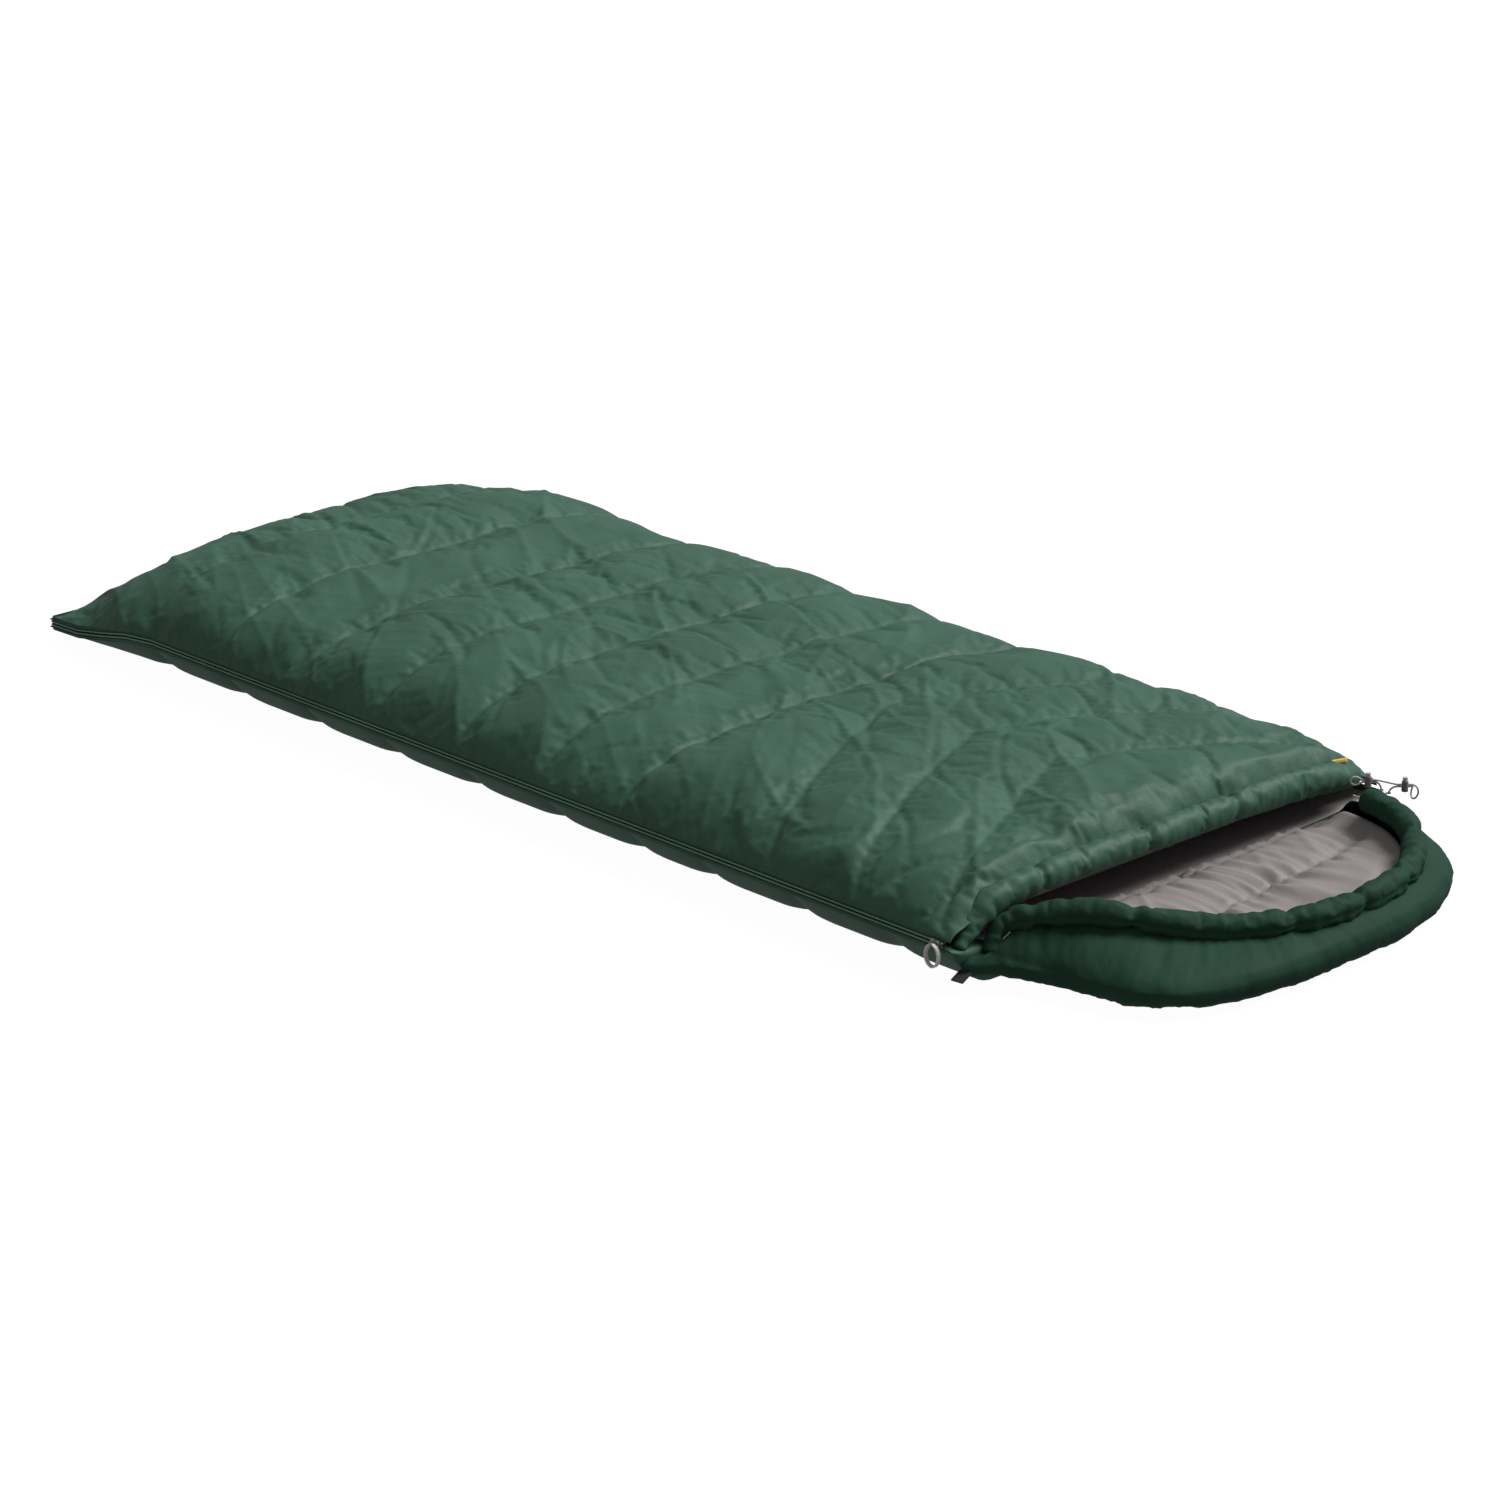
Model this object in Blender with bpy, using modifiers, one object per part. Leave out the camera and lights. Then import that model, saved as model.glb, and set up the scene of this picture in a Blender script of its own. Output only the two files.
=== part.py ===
"""Rectangular sleeping bag with a hood, laid out closed on the ground.

Metres, +Z up, +X from the foot to the head, the zip on the -Y side. The origin is the middle of the
underside. The lower half (base) carries the hood, and the upper half (cover) folds back about the
far long edge, where the two halves are sewn together.
"""
from math import cos, pi, radians, sin

import bmesh
import bpy
from mathutils import Vector

# ---- driving dimensions ----
FOOT_X = -1.056            # foot edge of the bag
HALF_WIDTH = 0.400         # centre line to either long edge
NECK_X = 0.762             # head edge of the cover
HOOD_START_X = 0.785       # seam between the base and the hood
HOOD_LENGTH = 0.290        # hood seam to the crown of the hood
HOOD_HALF_WIDTH = 0.370
HOOD_NEAR_ROUNDNESS = 3.0  # exponents of the two halves of the hood's outline
HOOD_FAR_ROUNDNESS = 2.45
HOOD_SAG = 0.6             # height of the crown above the lining, as a share of the sides'
SEAM_Z = 0.060             # height of the side seams
FOOT_SEAM_Z = 0.030        # height of the foot seam
FOOT_DROP_X = -0.810       # the side seam starts to drop here
COVER_TOP_Z = 0.150        # loft of the cover along the middle
BASE_LINING_Z = 0.045
COVER_LINING_Z = 0.085
SKIN = 0.0016              # thickness given to the shell and lining fabrics
GAP = 0.0003               # between touching pieces
FAR_HALF_GAP = 0.0022      # half of the space between the two halves along the far seam
FOOT_INSET = 0.030         # linings and pads stop short of the foot edge
SIDE_INSET = 0.014         # linings stop short of the long edges
CHAMBER = 0.167            # spacing of the quilt seams
FIRST_CHAMBER = 0.212      # length of the chamber at the foot
PAD_HALF_WIDTH = 0.366
UNDERCUT = 0.175           # share of the half width over which the base rises to the seam
FOOT_UNDERCUT = 0.060      # length over which the base rises to the foot seam
CHEVRON_SLOPE = 0.45       # how far a chevron seam runs towards the head per metre of width

ZIP_HALF_BAND = 0.0105     # half of the zip band's height
ZIP_SLOT = 0.0012          # half of the slot between the two coils, where the slider's post runs
ZIP_Y = -0.402             # outer face of the zip tapes on the long side
TAPE_THICKNESS = 0.0008
COIL_RADIUS = 0.0011
TAPE_END_X = 0.773         # head end of the zip tapes
STOP_X = 0.7680            # start of the two top stops
STOP_LENGTH = 0.0030
STOP_DEPTH = 0.0032        # outer face of the stops, out from the middle of the tapes
ZIP_END_Y = 0.375          # far end of the zip on the foot edge
ZIP_CORNER = 0.004         # radius of the zip round the foot corner
SLIDER_X = 0.760           # centre of the slider when the zip is closed
PULL_Y = -0.4112           # middle of the pull loop's band and of its pivot
BAIL = 0.0007              # half of the slider's square bail bar

RIM_RADIUS = 0.0165
RIM_Z = 0.0905             # middle of the rim tube at the sides
RIM_LENGTH = 0.255         # hood seam to the crown of the rim tube
RIM_NEAR_HALF_WIDTH = 0.290
RIM_FAR_HALF_WIDTH = 0.292
RIM_NEAR_ROUNDNESS = 1.7   # the near side is pulled in towards a straight line
RIM_FAR_ROUNDNESS = 2.6
COLLAR_RADIUS = 0.0190
CORD_RADIUS = 0.00125
CHANNEL_RADIUS = 0.0030    # drawcord channel inside the rim tube
HOOD_PAD_SWEEP = radians(86)

LOCK_1 = Vector((0.8285, 0.3215, 0.1005))
LOCK_2 = Vector((0.8615, 0.3560, 0.0945))
CORD_HEADING = radians(46.3)

COLLECTION = "sleeping_bag"
GREEN = (0.052, 0.130, 0.090)
DARK_GREEN = (0.030, 0.075, 0.052)
COIL_GREEN = (0.110, 0.230, 0.170)
GREY_LINING = (0.300, 0.285, 0.280)
FILL_WHITE = (0.800, 0.800, 0.780)
OFF_WHITE = (0.700, 0.690, 0.640)
CORD_GREY = (0.560, 0.530, 0.540)
LOCK_GREY = (0.200, 0.180, 0.190)
STEEL = (0.550, 0.550, 0.560)
BLACK = (0.012, 0.012, 0.014)
YELLOW = (0.780, 0.500, 0.080)


# ---- scene helpers ----
def clear_scene():
    for obj in list(bpy.data.objects):
        bpy.data.objects.remove(obj, do_unlink=True)


def collection(name):
    made = bpy.data.collections.new(name)
    bpy.context.scene.collection.children.link(made)
    return made


def material(name, colour, roughness, metallic=0.0):
    mat = bpy.data.materials.new(name)
    mat.use_nodes = True
    shader = mat.node_tree.nodes["Principled BSDF"]
    shader.inputs["Base Color"].default_value = (*colour, 1.0)
    shader.inputs["Roughness"].default_value = roughness
    shader.inputs["Metallic"].default_value = metallic
    mat.diffuse_color = (*colour, 1.0)
    return mat


def add_part(name, data, look, parent=None):
    obj = bpy.data.objects.new(name, data)
    parts.objects.link(obj)
    data.materials.append(look)
    obj.parent = parent
    return obj


def face_outwards(bm):
    bmesh.ops.recalc_face_normals(bm, faces=bm.faces)
    if bm.calc_volume(signed=True) < 0:
        bmesh.ops.reverse_faces(bm, faces=bm.faces)


def mesh_part(name, bm, look, parent=None, smooth=True):
    if all(edge.is_manifold for edge in bm.edges):
        face_outwards(bm)
    mesh = bpy.data.meshes.new(name)
    bm.to_mesh(mesh)
    bm.free()
    if smooth:
        mesh.shade_smooth()
        mesh.set_sharp_from_angle(angle=radians(40))
    return add_part(name, mesh, look, parent)


def empty(name, location, heading=0.0):
    obj = bpy.data.objects.new(name, None)
    obj.location = location
    obj.rotation_euler = (0.0, 0.0, heading)
    parts.objects.link(obj)
    return obj


def solidify(obj, thickness, offset):
    mod = obj.modifiers.new("thickness", "SOLIDIFY")
    mod.thickness = thickness
    mod.offset = offset
    mod.use_even_offset = True
    return mod


def cutter(name, bm, parent=None):
    face_outwards(bm)
    mesh = bpy.data.meshes.new(name)
    bm.to_mesh(mesh)
    bm.free()
    obj = bpy.data.objects.new(name, mesh)
    cutters.objects.link(obj)
    obj.hide_render = True
    obj.display_type = "WIRE"
    obj.parent = parent
    return obj


def boolean(obj, other, operation):
    mod = obj.modifiers.new(operation.lower(), "BOOLEAN")
    mod.operation = operation
    mod.object = other


def box_bmesh(low, high):
    bm = bmesh.new()
    bmesh.ops.create_cube(bm, size=1.0)
    low, high = Vector(low), Vector(high)
    middle = (low + high) / 2
    for vert in bm.verts:
        vert.co = middle + vert.co * (high - low)
    return bm


def cylinder_bmesh(radius, low_z, high_z, sides=16):
    bm = bmesh.new()
    bmesh.ops.create_cone(bm, cap_ends=True, segments=sides, radius1=radius, radius2=radius,
                          depth=high_z - low_z)
    bmesh.ops.translate(bm, verts=bm.verts, vec=(0.0, 0.0, (low_z + high_z) / 2))
    return bm


# ---- smooth paths ----
def spline_points(knots, step):
    """Points about `step` apart on a centripetal-like Catmull-Rom curve through the knots."""
    knots = [Vector(k) for k in knots]
    ends = [knots[0] * 2 - knots[1]] + knots + [knots[-1] * 2 - knots[-2]]
    fine = []
    for a, b, c, d in zip(ends, ends[1:], ends[2:], ends[3:]):
        for k in range(24):
            t = k / 24
            fine.append(0.5 * (2 * b + (c - a) * t + (2 * a - 5 * b + 4 * c - d) * t * t
                               + (3 * b - a - 3 * c + d) * t ** 3))
    fine.append(knots[-1])
    lengths = [0.0]
    for a, b in zip(fine, fine[1:]):
        lengths.append(lengths[-1] + (b - a).length)
    count = max(2, round(lengths[-1] / step))
    points, k = [], 0
    for n in range(count + 1):
        goal = lengths[-1] * n / count
        while k < len(fine) - 2 and lengths[k + 1] < goal:
            k += 1
        share = (goal - lengths[k]) / (lengths[k + 1] - lengths[k])
        points.append(fine[k].lerp(fine[k + 1], share))
    return points


def tube(name, points, radius, look, resolution=2, parent=None):
    curve = bpy.data.curves.new(name, "CURVE")
    curve.dimensions = "3D"
    spline = curve.splines.new("POLY")
    spline.points.add(len(points) - 1)
    for slot, point in zip(spline.points, points):
        slot.co = (*point, 1.0)
    spline.use_smooth = True
    curve.bevel_depth = radius
    curve.bevel_resolution = resolution
    curve.use_fill_caps = True
    curve.twist_mode = "MINIMUM"
    return add_part(name, curve, look, parent)


# ---- heights of the bag's surfaces ----
def smoothstep(value):
    value = min(1.0, max(0.0, value))
    return value * value * (3 - 2 * value)


def seam_height(x):
    """Height of the middle of the seam or zip along the edge at x."""
    drop = smoothstep((FOOT_DROP_X - x) / (FOOT_DROP_X - FOOT_X - 0.03))
    return SEAM_Z + (FOOT_SEAM_Z - SEAM_Z) * drop


def half_gap(x, y):
    """Half of the space left between base and cover: the zip band near, a bare seam on the far side."""
    near_side = smoothstep(0.5 - 0.5 * y / HALF_WIDTH)
    foot = smoothstep((FOOT_X + 0.10 - x) / 0.10) * smoothstep((HALF_WIDTH - 0.01 - y) / 0.03)
    return FAR_HALF_GAP + (ZIP_HALF_BAND - FAR_HALF_GAP) * max(near_side, foot)


def dome(x, y, power=3.2):
    """0 on the long edges and the foot edge, 1 over the middle of the bag."""
    across = max(0.0, 1 - (abs(y) / HALF_WIDTH) ** power) ** 0.55
    inset = min(1.0, max(0.0, (x - FOOT_X) / 0.28))
    along = max(0.0, 1 - (1 - inset) ** 2.2) ** 0.6
    return across * along


def cover_top(x, y):
    foot_loft = 0.020 * 2.718 ** (-((x + 0.76) / 0.22) ** 2)
    neck_drop = 0.038 * smoothstep((x - 0.42) / (NECK_X - 0.42))
    edge = seam_height(x) + half_gap(x, y)
    return edge + (COVER_TOP_Z + foot_loft - neck_drop - edge) * dome(x, y)


def cover_lining_z(x, y):
    edge = seam_height(x) + half_gap(x, y) + 0.0012
    neck_drop = 0.008 * smoothstep((x - 0.42) / (NECK_X - 0.42))
    return edge + (COVER_LINING_Z - neck_drop - edge) * dome(x, y, 5.0)


def base_lining_z(x, y):
    edge = seam_height(x) - half_gap(x, y) - 0.0012
    return edge + (BASE_LINING_Z - edge) * dome(x, y)


def base_bottom(x, y):
    """Flat on the ground, with a slanted side that rises to the seam."""
    side = max(0.0, (abs(y) / HALF_WIDTH - 1 + UNDERCUT) / UNDERCUT)
    foot = max(0.0, (FOOT_X + FOOT_UNDERCUT - x) / FOOT_UNDERCUT)
    reach = min(1.0, (side ** 3 + foot ** 3) ** (1 / 3))
    return (seam_height(x) - half_gap(x, y)) * reach ** 2.2


# ---- panels ----
def across(share, half_width):
    """Rows close together near the long edges."""
    return half_width * sin(pi * (share - 0.5))


def along(share, start, end):
    """Rows close together near the foot."""
    return start + (end - start) * (1 - cos(share * pi / 2))


def skin_panel(name, height, look, columns, rows, insets, end_x, offset):
    """A fabric panel over the whole bag: a grid shaped by a height function, thickened."""
    foot_inset, side_inset = insets
    bm = bmesh.new()
    bmesh.ops.create_grid(bm, x_segments=columns, y_segments=rows, size=0.5)
    for vert in bm.verts:
        x = along(vert.co.x + 0.5, FOOT_X + foot_inset, end_x)
        y = across(vert.co.y + 0.5, HALF_WIDTH - side_inset)
        vert.co = (x, y, height(x, y))
    obj = mesh_part(name, bm, look)
    solidify(obj, SKIN, offset)
    return obj


def pad(name, place, low, high, columns, rows, look):
    """A closed pad between two height functions, over the outline that `place` gives."""
    bm = bmesh.new()
    bmesh.ops.create_grid(bm, x_segments=columns, y_segments=rows, size=0.5)
    lower = list(bm.verts)
    grown = bmesh.ops.extrude_face_region(bm, geom=bm.faces[:])
    upper = [item for item in grown["geom"] if isinstance(item, bmesh.types.BMVert)]
    for verts, height in ((lower, low), (upper, high)):
        for vert in verts:
            x, y = place(vert.co.x + 0.5, vert.co.y + 0.5)
            vert.co = (x, y, height(x, y))
    return mesh_part(name, bm, look)


def seam_line(number, y, chevrons):
    """x of quilt seam `number` at y. The cover's seams near the head are chevrons."""
    x = FOOT_X + FIRST_CHAMBER + CHAMBER * (number - 1)
    if number == 0:
        return FOOT_X + FOOT_INSET
    if number == 11:
        return NECK_X - 0.004 if chevrons else HOOD_START_X - 0.006
    if chevrons and number >= 8:
        x += CHEVRON_SLOPE * abs(y) - 0.090
    return min(x, NECK_X - 0.030) if chevrons else x


def fill_chambers(prefix, low, high, chevrons, look):
    for number in range(11):
        def place(u, w, number=number):
            y = across(w, PAD_HALF_WIDTH)
            start = seam_line(number, y, chevrons) + 0.0015
            end = seam_line(number + 1, y, chevrons) - 0.0015
            x = start + (max(end, start + 0.004) - start) * u
            return x, y * (1 - 0.16 * smoothstep((FOOT_X + 0.12 - x) / 0.10))
        columns = 6 if number == 0 else 2
        pad(f"{prefix}_{number + 1:02d}", place, low, high, columns, 8, look)


# ---- hood ----
def superellipse(angle, length, half_width, roundness):
    """Point of a D-shaped outline with the given size, seen from above."""
    c, s = cos(angle), sin(angle)
    reach = (abs(c) ** roundness + abs(s) ** roundness) ** (-1 / roundness)
    return Vector((HOOD_START_X + length * reach * c, half_width * reach * s, 0.0))


def rim_outline(angle):
    """Middle of the rim tube, seen from above."""
    if angle < 0:
        return superellipse(angle, RIM_LENGTH, RIM_NEAR_HALF_WIDTH, RIM_NEAR_ROUNDNESS)
    return superellipse(angle, RIM_LENGTH, RIM_FAR_HALF_WIDTH, RIM_FAR_ROUNDNESS)


def hood_z(angle, z):
    """Height z of the hood's sides, lowered towards the crown."""
    share = HOOD_SAG + (1 - HOOD_SAG) * smoothstep((abs(angle) - radians(30)) / radians(35))
    return z if z <= BASE_LINING_Z else BASE_LINING_Z + (z - BASE_LINING_Z) * share


def hood_point(angle, scale, pull, z, clearance=0.0):
    """At scale 1: the outer wall where pull is 0, and near the rim's middle where pull is 1."""
    roundness = HOOD_NEAR_ROUNDNESS if angle < 0 else HOOD_FAR_ROUNDNESS
    wall = superellipse(angle, HOOD_LENGTH, HOOD_HALF_WIDTH, roundness)
    rim = rim_outline(angle)
    pull *= 1 - clearance / (wall - rim).length
    middle = Vector((HOOD_START_X, 0.0, 0.0))
    point = middle + (wall.lerp(rim, pull) - middle) * scale
    ramp = smoothstep((point.x - HOOD_START_X) / (0.055 - 0.040 * point.y))
    point.z = min(z, BASE_LINING_Z) + (hood_z(angle, z) - min(z, BASE_LINING_Z)) * ramp
    point.x = max(point.x, HOOD_START_X + SKIN)
    return point


def hood_surface(name, profile, look, columns, offset, clearance=0.0):
    """A D-shaped bowl: the profile's (scale, pull, height) points swept round the hood."""
    bm = bmesh.new()
    rows = len(profile) - 1
    bmesh.ops.create_grid(bm, x_segments=columns, y_segments=rows, size=0.5)
    for vert in bm.verts:
        vert.co = hood_point(pi * vert.co.x, *profile[round((vert.co.y + 0.5) * rows)], clearance)
    bmesh.ops.remove_doubles(bm, verts=bm.verts, dist=0.0001)
    obj = mesh_part(name, bm, look)
    solidify(obj, SKIN, offset)
    return obj


def hood_pad(name, lower_profile, upper_profile, look, columns):
    """The hood's insulation, closed between two profiles."""
    bm = bmesh.new()
    rows = len(lower_profile) - 1
    bmesh.ops.create_grid(bm, x_segments=columns, y_segments=rows, size=0.5)
    lower = list(bm.verts)
    grown = bmesh.ops.extrude_face_region(bm, geom=bm.faces[:])
    upper = [item for item in grown["geom"] if isinstance(item, bmesh.types.BMVert)]
    for verts, profile, sink in ((lower, lower_profile, 0.0), (upper, upper_profile, 0.0045)):
        for vert in verts:
            angle = HOOD_PAD_SWEEP * 2 * vert.co.x
            scale, pull, z = profile[round((vert.co.y + 0.5) * rows)]
            vert.co = hood_point(angle, scale, pull, z + sink)
            vert.co.z -= sink
    bmesh.ops.remove_doubles(bm, verts=bm.verts, dist=0.0001)
    return mesh_part(name, bm, look)


def rim_path(sweep, count):
    points = []
    for n in range(count + 1):
        angle = sweep * (2 * n / count - 1)
        point = rim_outline(angle)
        point.z = hood_z(angle, RIM_Z) - 0.006 * (1 - smoothstep((point.x - HOOD_START_X) / 0.070))
        points.append(point)
    return points


# ---- zip ----
def zip_path(neck_x, outward=0.0):
    """Middle of the zip: along the near edge, round the foot corner and along the foot edge."""
    side_y = ZIP_Y - outward
    foot_x = FOOT_X + ZIP_Y + HALF_WIDTH - outward
    radius = ZIP_CORNER + outward
    points = [Vector((neck_x, side_y, SEAM_Z)), Vector((FOOT_DROP_X, side_y, SEAM_Z))]
    for share in (0.25, 0.5, 0.75, 1.0):
        x = FOOT_DROP_X + (foot_x + radius - FOOT_DROP_X) * share
        points.append(Vector((x, side_y, seam_height(x))))
    for n in (1, 2):
        angle = pi / 2 * n / 2
        x = foot_x + radius * (1 - sin(angle))
        y = side_y + radius * (1 - cos(angle))
        points.append(Vector((x, y, FOOT_SEAM_Z)))
    points.append(Vector((foot_x, 0.0, FOOT_SEAM_Z)))
    points.append(Vector((foot_x, ZIP_END_Y, FOOT_SEAM_Z)))
    return points


def tape(name, low, high, look):
    """A woven band standing along the zip's path between two heights."""
    bm = bmesh.new()
    verts = [bm.verts.new(point + Vector((0, 0, low))) for point in zip_path(TAPE_END_X)]
    edges = [bm.edges.new(pair) for pair in zip(verts, verts[1:])]
    grown = bmesh.ops.extrude_edge_only(bm, edges=edges)
    upper = [item for item in grown["geom"] if isinstance(item, bmesh.types.BMVert)]
    bmesh.ops.translate(bm, verts=upper, vec=(0, 0, high - low))
    obj = mesh_part(name, bm, look)
    solidify(obj, TAPE_THICKNESS, 0.0)
    return obj


def coil(name, height, look):
    """One row of the zip's coil, outside its tape."""
    path = zip_path(STOP_X - 0.0005, TAPE_THICKNESS / 2 + COIL_RADIUS + GAP)
    points = [point + Vector((0, 0, height)) for point in path]
    return tube(name, points, COIL_RADIUS, look, resolution=1)


# ---- cord locks ----
def cord_lock(prefix, place, looks):
    """A two-strand cord lock: body with a cross slot, a sprung plunger and its spring."""
    frame = empty(prefix, place, CORD_HEADING)
    body = mesh_part(f"{prefix}_body", cylinder_bmesh(0.0044, -0.0078, 0.0060, 20), looks["lock"], frame)
    boolean(body, cutter(f"{prefix}_bore", cylinder_bmesh(0.0029, -0.0070, 0.0200, 16), frame), "DIFFERENCE")
    slot = box_bmesh((-0.01, -0.00155, -0.0030), (0.01, 0.00155, 0.0030))
    boolean(body, cutter(f"{prefix}_slot", slot, frame), "DIFFERENCE")

    bm = cylinder_bmesh(0.0026, -0.0042, 0.0088, 16)
    plunger = mesh_part(f"{prefix}_plunger", bm, looks["plunger"], frame)
    head = cylinder_bmesh(0.0034, 0.0085, 0.0112, 16)
    boolean(plunger, cutter(f"{prefix}_head", head, frame), "UNION")
    window = box_bmesh((-0.01, -0.00155, -0.0029), (0.01, 0.00155, 0.0050))
    boolean(plunger, cutter(f"{prefix}_window", window, frame), "DIFFERENCE")

    turns, low, high = 3, -0.0066, -0.0046
    steps = turns * 8
    points = []
    for n in range(steps + 1):
        angle = 2 * pi * turns * n / steps
        points.append(Vector((0.0021 * cos(angle), 0.0021 * sin(angle), low + (high - low) * n / steps)))
    tube(f"{prefix}_spring", points, 0.0003, looks["steel"], resolution=0, parent=frame)


def cord_point(lock, along_cord, height, deeper=0.0):
    """A point in millimetres from the middle of a cord lock: along the cord, up, and away to the back."""
    heading = Vector((cos(CORD_HEADING), sin(CORD_HEADING), 0.0))
    back = Vector((-sin(CORD_HEADING), cos(CORD_HEADING), 0.0))
    return lock + 0.001 * (heading * along_cord + Vector((0, 0, height)) + back * deeper)


def cord_knots():
    """The free cord's route: eyelet, lock 1, left loop, lock 1, lock 2, end loop, lock 2, eyelet."""
    first = [(17.4, -13.5), (17.2, -10.0), (15.6, -5.6), (12.8, -2.4), (10.6, -1.45), (4.0, -1.45),
             (-4.0, -1.45), (-8.5, -1.8), (-12.6, -4.2), (-17.0, -5.4), (-21.0, -3.8), (-22.6, 0.2),
             (-21.0, 4.2), (-17.0, 5.8), (-12.6, 4.6), (-8.5, 2.1), (-4.0, 1.45), (4.0, 1.45), (10.6, 1.45)]
    second = [(-10.6, 1.45, 0), (-4.0, 1.45, 0), (4.0, 1.45, 0), (8.5, 1.4, 0), (13.5, -0.6, 0.5),
              (17.3, -6.0, 1.5), (17.8, -13.0, 3.0), (15.2, -19.5, 6.5), (12.0, -22.0, 12.0),
              (11.0, -18.5, 17.0), (11.6, -12.0, 18.0), (12.6, -6.0, 15.0), (12.4, -2.6, 9.0),
              (10.6, -1.6, 3.6), (7.0, -1.45, 0.4), (4.0, -1.45, 0), (-4.0, -1.45, 0),
              (-10.6, -1.45, 0), (-14.4, -2.2, 0), (-17.6, -4.4, 0), (-19.8, -7.6, 0), (-20.8, -11.2, 0)]
    return [cord_point(LOCK_1, *knot) for knot in first] + [cord_point(LOCK_2, *knot) for knot in second]


clear_scene()
parts = collection(COLLECTION)
cutters = collection("cutters")

looks = {
    "shell": material("green_shell", GREEN, 0.45),
    "hood": material("green_hood", DARK_GREEN, 0.45),
    "lining": material("grey_lining", GREY_LINING, 0.60),
    "fill": material("white_fill", FILL_WHITE, 0.90),
    "tape": material("dark_zip_tape", DARK_GREEN, 0.80),
    "coil": material("green_zip_coil", COIL_GREEN, 0.40),
    "steel": material("spring_steel", STEEL, 0.30, 1.0),
    "slider": material("grey_slider", STEEL, 0.40, 1.0),
    "pull": material("off_white_pull", OFF_WHITE, 0.50),
    "cord": material("grey_cord", CORD_GREY, 0.80),
    "lock": material("grey_lock", LOCK_GREY, 0.45),
    "plunger": material("light_plunger", CORD_GREY, 0.45),
    "black": material("black_webbing", BLACK, 0.80),
    "yellow": material("yellow_label", YELLOW, 0.70),
}

# ---- base: shell, lining and insulation ----
skin_panel("base_outer_shell", base_bottom, looks["shell"], 20, 20, (0.0, 0.0), HOOD_START_X - GAP, 1.0)
skin_panel("base_lining", base_lining_z, looks["lining"], 14, 10, (FOOT_INSET, SIDE_INSET),
           HOOD_START_X - GAP, -1.0)
fill_chambers("base_fill", lambda x, y: base_bottom(x, y) + 0.0052,
              lambda x, y: base_lining_z(x, y) - 0.0035, False, looks["fill"])

# ---- cover: shell, lining and insulation ----
skin_panel("cover_outer_shell", cover_top, looks["shell"], 22, 14, (0.0, 0.0), NECK_X, -1.0)
skin_panel("cover_lining", cover_lining_z, looks["lining"], 14, 10, (FOOT_INSET, SIDE_INSET), NECK_X, 1.0)
fill_chambers("cover_fill", lambda x, y: cover_lining_z(x, y) + 0.0060,
              lambda x, y: cover_top(x, y) - 0.0055, True, looks["fill"])

# ---- hood ----
hood_surface("hood_outer_shell",
             [(0.0, 0.0, 0.0), (0.80, 0.0, 0.0), (0.93, 0.0, 0.012), (1.0, 0.0, 0.045),
              (1.0, 0.25, 0.067), (1.0, 0.60, 0.081), (1.0, 1.0, 0.0855)],
             looks["hood"], 18, -1.0, RIM_RADIUS + 2 * SKIN + GAP)
hood_surface("hood_lining",
             [(0.0, 1.0, 0.045), (0.50, 1.0, 0.0455), (0.75, 1.0, 0.048), (0.88, 1.0, 0.053),
              (0.97, 1.0, 0.058)],
             looks["lining"], 18, 1.0)
hood_pad("hood_fill",
         [(0.0, 0.0, 0.0040), (0.45, 0.0, 0.0040), (0.79, 0.0, 0.0040), (0.90, 0.0, 0.0120),
          (0.950, 0.0, 0.0400), (0.960, 0.30, 0.0640)],
         [(0.0, 1.0, 0.0410), (0.48, 1.0, 0.0415), (0.74, 1.0, 0.0435), (0.88, 1.0, 0.0470),
          (1.0, 0.86, 0.0500), (0.98, 0.50, 0.0680)],
         looks["fill"], 18)
rim = tube("hood_rim", rim_path(radians(80.5), 22), RIM_RADIUS, looks["hood"], resolution=3)
rim.data.use_fill_caps = False
solidify(rim, RIM_RADIUS - CHANNEL_RADIUS, -1.0)
tube("drawcord_in_rim", rim_path(radians(80.0), 22), CORD_RADIUS, looks["cord"], resolution=1)

# ---- collar and draught tube ----
collar_knots = [(0.784, -0.336, 0.073), (0.787, -0.270, 0.087), (0.792, -0.150, 0.0945),
                (0.793, 0.000, 0.0955), (0.790, 0.150, 0.0945), (0.786, 0.270, 0.090),
                (0.7845, 0.342, 0.083)]
tube("neck_collar", spline_points(collar_knots, 0.05), COLLAR_RADIUS, looks["shell"], resolution=3)
baffle_path = [Vector((x, -0.3755, seam_height(x) + 0.0008)) for x in (0.755, 0.2, -0.35, FOOT_DROP_X)]
tube("zip_baffle", baffle_path, 0.0065, looks["lining"], resolution=2)

# ---- zip ----
tape("zip_tape_lower", -ZIP_HALF_BAND + GAP, -ZIP_SLOT, looks["tape"])
tape("zip_tape_upper", ZIP_SLOT, ZIP_HALF_BAND - GAP, looks["tape"])
coil("zip_coil_lower", -ZIP_SLOT - COIL_RADIUS - 0.0001, looks["coil"])
coil("zip_coil_upper", ZIP_SLOT + COIL_RADIUS + 0.0001, looks["coil"])
for name, low, high in (("zip_top_stop_lower", -0.0038, -ZIP_SLOT),
                        ("zip_top_stop_upper", ZIP_SLOT, 0.0038)):
    near = (STOP_X, ZIP_Y - STOP_DEPTH, SEAM_Z + low)
    far = (STOP_X + STOP_LENGTH, ZIP_Y - TAPE_THICKNESS / 2 - GAP, SEAM_Z + high)
    mesh_part(name, box_bmesh(near, far), looks["steel"], smooth=False)
zip_foot_x = FOOT_X + ZIP_Y + HALF_WIDTH
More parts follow.
